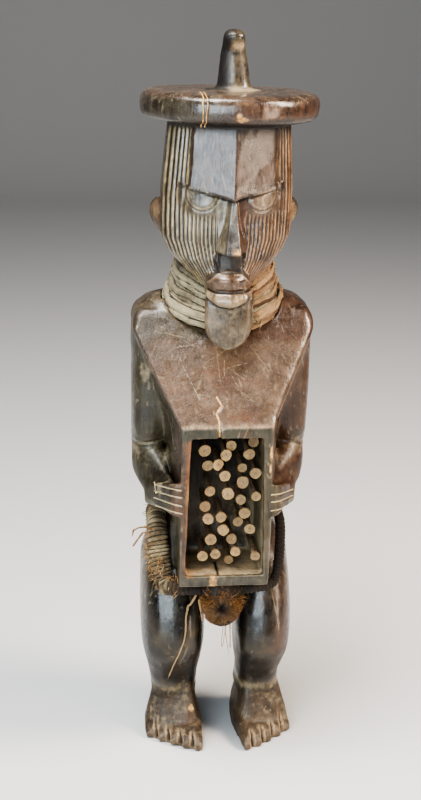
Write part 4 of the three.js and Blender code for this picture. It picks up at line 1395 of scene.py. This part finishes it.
def hipPlace(u, v):
    grid = np.linspace(0.0, 1.0, 4001)
    route = hipRoute(grid)
    length = np.concatenate([[0.0], np.cumsum(np.linalg.norm(np.diff(route, axis=0), axis=1))])
    turn = np.interp(u * length[-1], length, grid)
    centre = hipRoute(turn)
    ahead = hipRoute(turn + 0.002) - hipRoute(turn - 0.002)
    ahead /= np.linalg.norm(ahead, axis=1)[:, None]
    inward = np.cross(ahead, np.array([0.0, 0.0, 1.0]))
    inward /= np.linalg.norm(inward, axis=1)[:, None]
    above = np.cross(inward, ahead)
    around = v * 2.0 * math.pi
    swollen = np.exp(-((turn - hip["thickAt"]) / hip["thickSpan"]) ** 4)
    spot = np.stack([np.sin(u * 6.2832) * 60, np.cos(u * 6.2832) * 60, np.zeros_like(u)], axis=1)
    skew = 1.7 * speckle(spot, 10.0, 33) + 0.5 * np.sin(around + 9.0 * speckle(spot, 30.0, 36))
    cord = u * hip["turns"] + (around + skew) / (2.0 * math.pi)
    radius = hip["thin"] + (hip["thick"] - hip["thin"]) * swollen
    radius *= 1.0 + 0.09 * speckle(spot, 14.0, 31)
    bead = np.sqrt(np.clip(1.0 - (2.0 * (cord - np.floor(cord)) - 1.0) ** 2, 0.0, 1.0))
    loose = 0.6 * perTurn(cord, 34) * (0.3 + 0.7 * swollen)
    radius += (hip["cordDepth"] * (0.5 + 0.5 * swollen)) * (bead - 0.75) + loose
    place = centre + inward * (np.cos(around) * radius)[:, None]
    return place + above * (np.sin(around) * radius)[:, None], swollen, bead, cord


def hipFuzz(roll):
    # curly broken fibre on the low outer side of the thick part
    points = upright(readPoints(roll.data))
    way = readPoints(roll.data, "normal")
    low = (points[:, 0] < -38) & (points[:, 1] < 6) & (way[:, 0] < 0.3)
    weight = np.where(low, near(points[:, 2], 191, 15.0) + 0.1, 0.0)
    number = hip["fuzz"]
    chosen = dice.choice(len(points), number, p=weight / weight.sum())
    first = way[chosen] + 0.9 * dice.normal(size=(number, 3))
    second = way[chosen] * 0.2 + 1.0 * dice.normal(size=(number, 3)) + np.array([0.0, 0.0, -0.5])
    paths = curled(points[chosen], first, second, 0.5, 2.0 + 3.2 * dice.random(number))
    paths[:, :, 0] = np.maximum(paths[:, :, 0], -78.0)
    hairs = layHairs("hipFuzz", paths, 0.24 + 0.2 * dice.random(number))
    hairs.data.materials.append(makeHairLook(
        "brokenFibre", (0.09, 0.045, 0.018, 1.0), (0.34, 0.185, 0.07, 1.0), (0.50, 0.32, 0.15, 1.0)))
    return hairs


def makeHipRoll():
    roll = tube("hipRoll", hip["steps"], hip["sides"], lambda u, v: hipPlace(u, v)[0], ring=True)
    place = upright(readPoints(roll.data))
    corners = readAll(roll.data.loops, "vertex_index", 1, np.int64)[:, 0]
    onGrid = np.zeros((len(place), 2))
    onGrid[corners] = readAll(roll.data.uv_layers.active.data, "uv", 2)
    swollen, bead, cord = hipPlace(onGrid[:, 0], onGrid[:, 1])[1:]
    # painted shade: the thin, tucked-in part is darker in tone
    tone = 0.4 + 0.35 * speckle(place, 9.0, 35) + 0.3 * perTurn(cord, 38)
    storeMask(roll.data, "tone", tone * (0.2 + 0.8 * swollen))
    # painted shade in the valleys between the windings and over the thin, tucked-in part
    storeMask(roll.data, "deep", np.maximum(1.0 - ramp(bead, 0.3, 0.8), 0.94 * (1.0 - swollen)))
    look = makeClothLook("boundCord", (0.37, 0.295, 0.175, 1.0), (0.11, 0.072, 0.036, 1.0),
                         (240.0, (6.0, 0.6, 1.0)))
    roll.data.materials.append(look)
    piece = joinAs("hipRoll", [roll, hipFuzz(roll)])
    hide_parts("hip_belt")
    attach(piece, "root")
    return piece


hipRoll = makeHipRoll()
print("hip roll", len(hipRoll.data.polygons))

# Tuft under the box: curly bristles above, and a ball whose hairs run out from a dark hollow
tuft = {
    "x": 0.3, "y": -78.0, "high": 157.0, "halfWidth": 18.6, "front": 13.0, "halfHigh": 21.0,
    "top": 180.5, "box": -95.3, "hollowX": -0.6, "hollowHigh": 155.8,
    "radiating": 1500, "bristles": 1300, "length": 4.6, "halfThick": 0.3,
}


def tuftBall(away, turn, lift):
    # a place on the ball: how far from the hollow (radians), in which direction, how high above the core
    sides = np.sin(away) * np.cos(turn)
    rises = np.sin(away) * np.sin(turn)
    centreX = tuft["x"] + (tuft["hollowX"] - tuft["x"]) * np.cos(away)
    return np.stack([
        centreX + sides * (tuft["halfWidth"] + lift), tuft["y"] - np.cos(away) * (tuft["front"] + lift),
        tuft["high"] + rises * (tuft["halfHigh"] + lift)], axis=-1)


def makeTuft():
    core = copyOfNode("fibre_tuft", "tuftCore")
    applied(core, "REMESH", mode="VOXEL", voxel_size=0.0012)
    writePoints(core.data, relaxed(readPoints(core.data), readEdges(core.data), 20))
    points = upright(readPoints(core.data))
    way = readPoints(core.data, "normal")
    gap = np.hypot(points[:, 0] - tuft["hollowX"], points[:, 2] - tuft["hollowHigh"])
    hollow = near(gap, 0.0, 5.5) * (way[:, 1] < -0.2)
    points += way * (-1.2 - 3.4 * hollow)[:, None]
    writePoints(core.data, leaning(points))
    storeMask(core.data, "tone", 0.1 * ramp(gap, 4.0, 14.0))
    storeEven(core, tip=0.0)
    core.data.uv_layers.new(name="UVMap")
    share = alongHair[None, :]
    number = tuft["radiating"]
    turn = 2.0 * math.pi * dice.random(number)[:, None]
    begin = 0.13 + 0.85 * dice.random(number)[:, None] ** 1.6
    span = 0.35 + 0.45 * dice.random(number)[:, None]
    away = np.minimum(begin + span * share, 1.75)
    lift = -0.7 + 1.5 * dice.random(number)[:, None] + 1.2 * share ** 2 * dice.random(number)[:, None]
    lift = lift - 3.0 * near(away, 0.0, 0.22)
    paths = tuftBall(away, turn + 0.25 * share * dice.normal(size=(number, 1)), lift)
    keep = paths[:, :, 2].max(axis=1) < 178
    rays = layHairs("tuftRays", paths[keep], tuft["halfThick"] * (0.7 + 0.6 * dice.random(keep.sum())))
    tones = np.clip(0.8 * ramp(begin[keep, 0], 0.15, 0.9) * dice.random(keep.sum()), 0.0, 1.0)
    tones = np.repeat(tones, len(rays.data.vertices) // keep.sum())
    rays.data.attributes["tone"].data.foreach_set("value", tones.astype(np.float32))
    number = tuft["bristles"]
    away = 0.55 + 1.0 * dice.random(number)
    turn = math.pi * (0.5 + 0.46 * (dice.random(number) - 0.5) * 2.0)
    start = tuftBall(away, turn, -1.2)
    outward = start - np.array([tuft["x"], tuft["y"], tuft["high"]])
    outward /= np.linalg.norm(outward, axis=1)[:, None]
    first = outward + 0.6 * dice.normal(size=(number, 3))
    second = outward * 0.3 + 1.0 * dice.normal(size=(number, 3)) + np.array([0.0, -0.35, -0.1])
    paths = curled(start, first, second, 0.6, tuft["length"] * (0.45 + 0.7 * dice.random(number)))
    paths[:, :, 2] = np.minimum(paths[:, :, 2], tuft["top"])
    paths[:, :, 1] = np.maximum(paths[:, :, 1], tuft["box"])
    bristles = layHairs("tuftBristles", paths, tuft["halfThick"] * (0.6 + 0.8 * dice.random(number)))
    look = makeHairLook("curlyFibre", (0.012, 0.006, 0.003, 1.0), (0.105, 0.045, 0.015, 1.0),
                        (0.37, 0.185, 0.063, 1.0))
    for piece in (core, rays, bristles):
        piece.data.materials.append(look)
    piece = joinAs("fibreTuft", [core, rays, bristles])
    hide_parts("fibre_tuft")
    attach(piece, "root")
    return piece


fibreTuft = makeTuft()
print("tuft", len(fibreTuft.data.polygons))

# Straws: flat strands that hang from the tuft and the hip roll, some laid on the wood below them.
# Each has its points (x, depth, height), its half-width and whether it lies on the wood.
straws = {
    "left": ([(-20.9, -80, 163), (-19.2, -83, 152), (-17.5, -82, 141)], 1.2, False),
    "laid": ([(-16.5, -77, 166), (-22, -74, 151), (-29.2, -68, 137), (-29.8, -66, 127),
              (-32.3, -66, 115), (-40.5, -62, 95), (-44, -52, 75), (-46.4, -45, 62)], 1.15, True),
    "right": ([(8.2, -74, 138), (9.3, -71, 131), (10.3, -66, 104.5)], 0.75, False),
    "rightThin": ([(4.6, -72, 137), (5.2, -68, 123), (9.7, -65, 97)], 0.55, False),
    "rightLoop": ([(3.2, -73, 138), (1.5, -69, 112), (2.6, -67, 106), (4.4, -68, 118),
                   (5.6, -71, 134)], 0.35, False),
    "curlUpper": ([(-62.0, -50, 219), (-68, -50, 222), (-74, -49, 221.5), (-79.5, -48, 218.5),
                   (-80.6, -48, 211.7)], 1.3, False),
    "curlLower": ([(-62.0, -50, 214), (-70.7, -50, 217.3), (-76, -49, 209), (-80.4, -48, 201.8)],
                  1.1, False),
    "hipEnd": ([(-55, -62, 187), (-62, -59, 182), (-66, -54, 174)], 0.7, False),
}
strawPoints = 60


def strawShape(points, half, laid, number, skinTree):
    line = np.array(points, dtype=float)
    steps = np.concatenate([[0.0], np.cumsum(np.linalg.norm(np.diff(line, axis=0), axis=1))])
    grid = np.linspace(0.0, steps[-1], strawPoints)
    route = np.stack([np.interp(grid, steps, line[:, axis]) for axis in range(3)], axis=1)
    chain = np.stack([np.arange(strawPoints - 1), np.arange(1, strawPoints)], axis=1)
    ends = route[[0, -1]].copy()
    route = relaxed(route, chain, 10)
    route[[0, -1]] = ends
    if laid:
        for index, spot in enumerate(route):
            hit = skinTree.find_nearest(Vector(leaning(spot)))
            if hit[0] is not None:
                onSkin = upright(np.array(hit[0])) + np.array(hit[1]) * 0.7
                share = min(1.0, index / 8.0)
                route[index] = spot * (1.0 - share) + onSkin * share
    ahead = np.gradient(route, axis=0)
    ahead /= np.linalg.norm(ahead, axis=1)[:, None]
    side = np.cross(ahead, np.array([0.0, -1.0, 0.15]))
    side /= np.linalg.norm(side, axis=1)[:, None]
    front = np.cross(side, ahead)

    def shape(u, v):
        place = u * (strawPoints - 1.0)
        low = np.minimum(place.astype(int), strawPoints - 2)
        part = (place - low)[:, None]
        middle, across, out = (row[low] * (1.0 - part) + row[low + 1] * part
                               for row in (route, side, front))
        around = v * 2.0 * math.pi
        finish = np.clip(np.minimum(u, 1.0 - u) * 14.0, 0.15, 1.0)
        uneven = 0.85 + 0.3 * ripple(u * 40.0, 6.0, 81, number * 13.0)
        wide = half * uneven * finish * (1.0 - 0.35 * u)
        flat = (np.cos(around) * wide)[:, None]
        thick = (np.sin(around) * wide * 0.38)[:, None]
        return middle + across * flat + out * thick

    return shape


def makeStraws():
    skinTree = BVHTree.FromObject(figureCarved, bpy.context.evaluated_depsgraph_get())
    look = makeClothLook("dryStraw", (0.52, 0.36, 0.19, 1.0), (0.27, 0.13, 0.055, 1.0),
                         (70.0, (0.2, 1.0, 1.0)), 0.75)
    pieces = []
    for number, (points, half, laid) in enumerate(straws.values()):
        piece = tube("straw%d" % number, 70, 8, strawShape(points, half, laid, number, skinTree))
        storeEven(piece, tone=0.35 + 0.5 * dice.random(), deep=0.0)
        piece.data.materials.append(look)
        pieces.append(piece)
    piece = joinAs("looseStraws", pieces)
    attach(piece, "root")
    return piece


looseStraws = makeStraws()
print("straws", len(looseStraws.data.polygons))

# Pegs: one whittled peg is modelled and copied to every place the CAD gives. It is drawn out ring
# by ring (travel, scale), and its end gets rings of its own (inset, lift).
pegModel = {
    "sides": 18, "headRadius": 5.3, "faceRadius": 4.982, "headEnd": 8.05, "faceDepth": 0.9,
    "rings": ((0.35, 1.06), (1.3, 1.0), (3.2, 0.76), (3.2, 0.7), (10.0, 0.94), (10.0, 0.97), (10.0, 1.0)),
    "insets": ((1.1, 0.25), (1.2, 0.12), (1.2, 0.05), (0.8, -0.1)),
    "lean": 0.09, "leanTilted": 0.16, "edgeAngle": 38.0, "foremost": -92.0,
}
pegTones = {
    "shaft": (0.14, 0.085, 0.05, 1.0), "shaftPale": (0.30, 0.20, 0.12, 1.0),
    "patch": (0.38, 0.27, 0.16, 1.0), "end": (0.19, 0.12, 0.05, 1.0),
    "endPale": (0.40, 0.27, 0.115, 1.0), "speck": (0.15, 0.09, 0.045, 1.0),
    "core": (0.12, 0.07, 0.045, 1.0), "rim": (0.1, 0.06, 0.04, 1.0),
}
pegWear = {4: "point", 6: "split", 11: "point", 24: "notch", 28: "stub", 29: "dark", 27: "pale", 12: "tilt"}


def modelOnePeg():
    size = pegModel
    bpy.ops.mesh.primitive_circle_add(vertices=size["sides"], radius=size["faceRadius"], fill_type="NGON",
                                      rotation=(math.radians(90.0), 0.0, 0.0))
    peg = freeze(bpy.context.object)
    bpy.ops.object.mode_set(mode="EDIT")
    bpy.ops.mesh.select_mode(type="FACE")
    bpy.ops.mesh.select_all(action="SELECT")
    for travel, scale in size["rings"]:
        bpy.ops.mesh.extrude_region_move(TRANSFORM_OT_translate={"value": (0.0, travel, 0.0)})
        bpy.ops.transform.resize(value=(scale, 1.0, scale))
    bpy.ops.object.mode_set(mode="OBJECT")
    for polygon in peg.data.polygons:
        polygon.select = polygon.center.y < 0.01
    bpy.ops.object.mode_set(mode="EDIT")
    for inset, lift in size["insets"]:
        bpy.ops.mesh.inset(thickness=inset, depth=lift)
    bpy.ops.object.mode_set(mode="OBJECT")
    peg.name = "pegModel"
    return edited(peg, facesOut)


def makePegLook():
    material, tree, shader, place = newMaterial("pegWood", Roughness=0.7)
    tone = pegTones
    ring = maskOf(tree, "ring")
    grain = useGroup(tree, grainGroup, Vector=place, Fineness=700.0, Stretch=(1.0, 0.07, 1.0))
    speck = noiseOn(tree, place, 520.0, 4.0, 0.7)
    blotch = noiseOn(tree, place, 170.0, 3.0, 0.6)
    shaft = mixed(tree, grain["Fibre"], tone["shaft"], tone["shaftPale"])
    shaft = mixed(tree, between(tree, blotch, 0.5, 0.7), shaft, tone["patch"])
    end = mixed(tree, maskOf(tree, "tone"), tone["end"], tone["endPale"])
    end = mixed(tree, between(tree, speck, 0.5, 0.68), end, tone["speck"])
    end = laidOver(tree, end, between(tree, ring, 0.45, 0.05), 0.6, tone["core"])
    end = laidOver(tree, end, between(tree, ring, 0.86, 1.0), 0.5, tone["rim"])
    tree.links.new(mixed(tree, maskOf(tree, "face"), shaft, end), shader.inputs["Base Color"])
    roughen(tree, shader, math2(tree, "ADD", speck, grain["Fibre"]), 0.7, 0.0003)
    return material


def wornPeg(points, number, low, high):
    # the model's points, grown to the CAD's head and length and worn in their own way
    size = pegModel
    kind = pegWear.get(number, "")
    isHead = points[:, 1] < size["headEnd"] - 0.1
    angle = np.arctan2(points[:, 2], points[:, 0])
    wobble = np.stack([np.cos(angle) * 4, np.sin(angle) * 4, np.full(len(angle), number * 9.0)], axis=1)
    rough = 1.0 + 0.07 * speckle(wobble, 2.2, 61) + 0.05 * speckle(wobble, 1.1, 62)
    grow = (high[0] - low[0]) / 2.0 / size["headRadius"]
    growth = np.where(isHead, grow * rough, 1.0 + 0.12 * speckle(wobble, 2.0, 63))
    stretch = (high[1] - low[1] - size["headEnd"]) / (points[:, 1].max() - size["headEnd"])
    points[:, 0] *= growth
    points[:, 2] *= growth
    points[:, 1] += np.maximum(points[:, 1] - size["headEnd"], 0.0) * (stretch - 1.0)
    face = 1.0 - np.maximum(points[:, 1], 0.0) / size["faceDepth"]
    lean = dice.normal(size=2) * size["leanTilted" if kind == "tilt" else "lean"]
    front = np.clip(1.0 - points[:, 1] / size["headEnd"], 0.0, 1.0)
    points[:, 1] += (points[:, 0] * lean[0] + points[:, 2] * lean[1]) * front
    if kind == "split":
        points[:, 1] += np.clip(points[:, 0] + 0.5, 0.0, 4.0) * 0.9 * front
    if kind == "point":
        points[:, 2] -= front * np.clip(-points[:, 2] - 2.0, 0.0, 4.0) * 0.4
    if kind == "notch":
        points[:, 1] += 2.6 * near(points[:, 0], 3.5, 2.4495) * near(points[:, 2], 3.0, 2.4495) * front
    if kind == "stub":
        points[:, 1] -= 1.6 * near(points[:, 0], 1.0, 1.8708) * near(points[:, 2], 1.5, 1.8708) * front
    middle = (low + high) / 2.0
    points += np.array([middle[0], max(low[1], size["foremost"]) + 0.35, middle[2]])
    return points, face, {"dark": 0.05, "pale": 1.0}.get(kind, 0.3 + 0.6 * dice.random())


def makePegs():
    model = modelOnePeg()
    look = makePegLook()
    shape = readPoints(model.data)
    for number in range(1, 30):
        node = "peg_%02d" % number
        peg = model.copy()
        peg.data = model.data.copy()
        peg.name = "peg%02d" % number
        peg.data.name = peg.name
        bpy.context.collection.objects.link(peg)
        points, face, tone = wornPeg(shape.copy(), number, *(upright(corner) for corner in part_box(node)))
        writePoints(peg.data, leaning(points))
        storeEven(peg, tone=tone)
        storeMask(peg.data, "ring", np.hypot(shape[:, 0], shape[:, 2]) / pegModel["headRadius"])
        storeMask(peg.data, "face", face)
        peg.data.materials.append(look)
        only(peg)
        bpy.ops.object.shade_smooth_by_angle(angle=math.radians(pegModel["edgeAngle"]))
        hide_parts(node)
        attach(peg, "root")
    bpy.data.objects.remove(model)


makePegs()
print("pegs done")

# Studio: pale floor that rises far behind, soft lights and the camera
studio = {
    "floorSize": 8.0, "floorShift": 1.0, "wallHeight": 4.0, "curve": 1.6,
    "floorColour": (0.58, 0.577, 0.574, 1.0), "sky": (0.93, 0.96, 1.0, 1.0), "skyStrength": 0.15,
}
# place, what it is turned to, width and height, power, colour
studioLights = {
    "frontSoftbox": ((-0.62, -1.32, 0.68), (0.0, 0.0, 0.36), (1.2, 0.9), 27.0, (0.80, 0.915, 1.0)),
    "topSoftbox": ((-0.40, -0.32, 1.9), (0.0, 0.0, 0.35), (0.8, 0.8), 42.0, (1.0, 0.985, 0.96)),
    "warmSoftbox": ((1.25, -0.45, 1.35), (0.0, 0.0, 0.38), (0.55, 0.8), 40.0, (1.0, 0.86, 0.72)),
    "sideSoftbox": ((1.02, -0.88, 0.42), (0.0, 0.0, 0.42), (0.13, 0.7), 5.5, (1.0, 0.82, 0.64)),
}
photoCamera = {
    "height": 0.700, "distance": 1.250, "sideways": -0.004, "azimuth": -5.3, "down": 16.6,
    "roll": 0.6, "lens": 63.0, "sensor": 36.0,
}


def makeFloor():
    size = studio["floorSize"]
    bpy.ops.mesh.primitive_plane_add(size=size, location=(0.0, studio["floorShift"], 0.0))
    floor = bpy.context.object
    floor.name = "studioFloor"
    bpy.ops.object.mode_set(mode="EDIT")
    bpy.ops.mesh.select_mode(type="EDGE")
    bpy.ops.mesh.select_all(action="DESELECT")
    bpy.ops.object.mode_set(mode="OBJECT")
    for edge in floor.data.edges:
        edge.select = all(floor.data.vertices[end].co.y > size * 0.45 for end in edge.vertices)
    bpy.ops.object.mode_set(mode="EDIT")
    bpy.ops.mesh.extrude_region_move(TRANSFORM_OT_translate={"value": (0.0, 0.0, studio["wallHeight"])})
    bpy.ops.object.mode_set(mode="OBJECT")
    applied(floor, "BEVEL", width=studio["curve"], segments=16, limit_method="ANGLE")
    freeze(smooth(floor))
    look = newMaterial("paleFloor", Roughness=0.9, Base_Color=studio["floorColour"])[0]
    floor.data.materials.append(look)


def makeLight(name, place, target, size, power, colour):
    light = bpy.data.lights.new(name, "AREA")
    light.shape = "RECTANGLE"
    light.size, light.size_y = size
    light.energy = power
    light.color = colour
    lamp = bpy.data.objects.new(name, light)
    bpy.context.collection.objects.link(lamp)
    lamp.location = place
    lamp.rotation_euler = (Vector(target) - Vector(place)).to_track_quat("-Z", "Y").to_euler()


def makeSky():
    world = bpy.data.worlds.new("studioWorld")
    world.use_nodes = True
    background = world.node_tree.nodes["Background"]
    background.inputs[0].default_value = studio["sky"]
    background.inputs[1].default_value = studio["skyStrength"]
    bpy.context.scene.world = world
    bpy.context.scene.view_settings.look = "AgX - High Contrast"


def makeCamera():
    view = photoCamera
    turn = math.radians(view["azimuth"])
    ahead = Vector((-math.sin(turn), math.cos(turn), 0.0))
    right = Vector((math.cos(turn), math.sin(turn), 0.0))
    place = -ahead * view["distance"] + right * view["sideways"]
    place += Vector((stand["side"] / 1000.0, stand["depth"] / 1000.0, view["height"]))
    data = bpy.data.cameras.new("photoCamera")
    data.sensor_fit = "VERTICAL"
    data.sensor_height = view["sensor"]
    data.lens = view["lens"]
    camera = bpy.data.objects.new("photoCamera", data)
    bpy.context.collection.objects.link(camera)
    tilt = Matrix.Rotation(math.radians(90.0 - view["down"]), 4, "X")
    roll = Matrix.Rotation(math.radians(view["roll"]), 4, "Z")
    camera.matrix_world = Matrix.Translation(place) @ Matrix.Rotation(turn, 4, "Z") @ tilt @ roll
    bpy.context.scene.camera = camera


makeFloor()
for name, values in studioLights.items():
    makeLight(name, *values)
makeSky()
makeCamera()
print("studio ready")
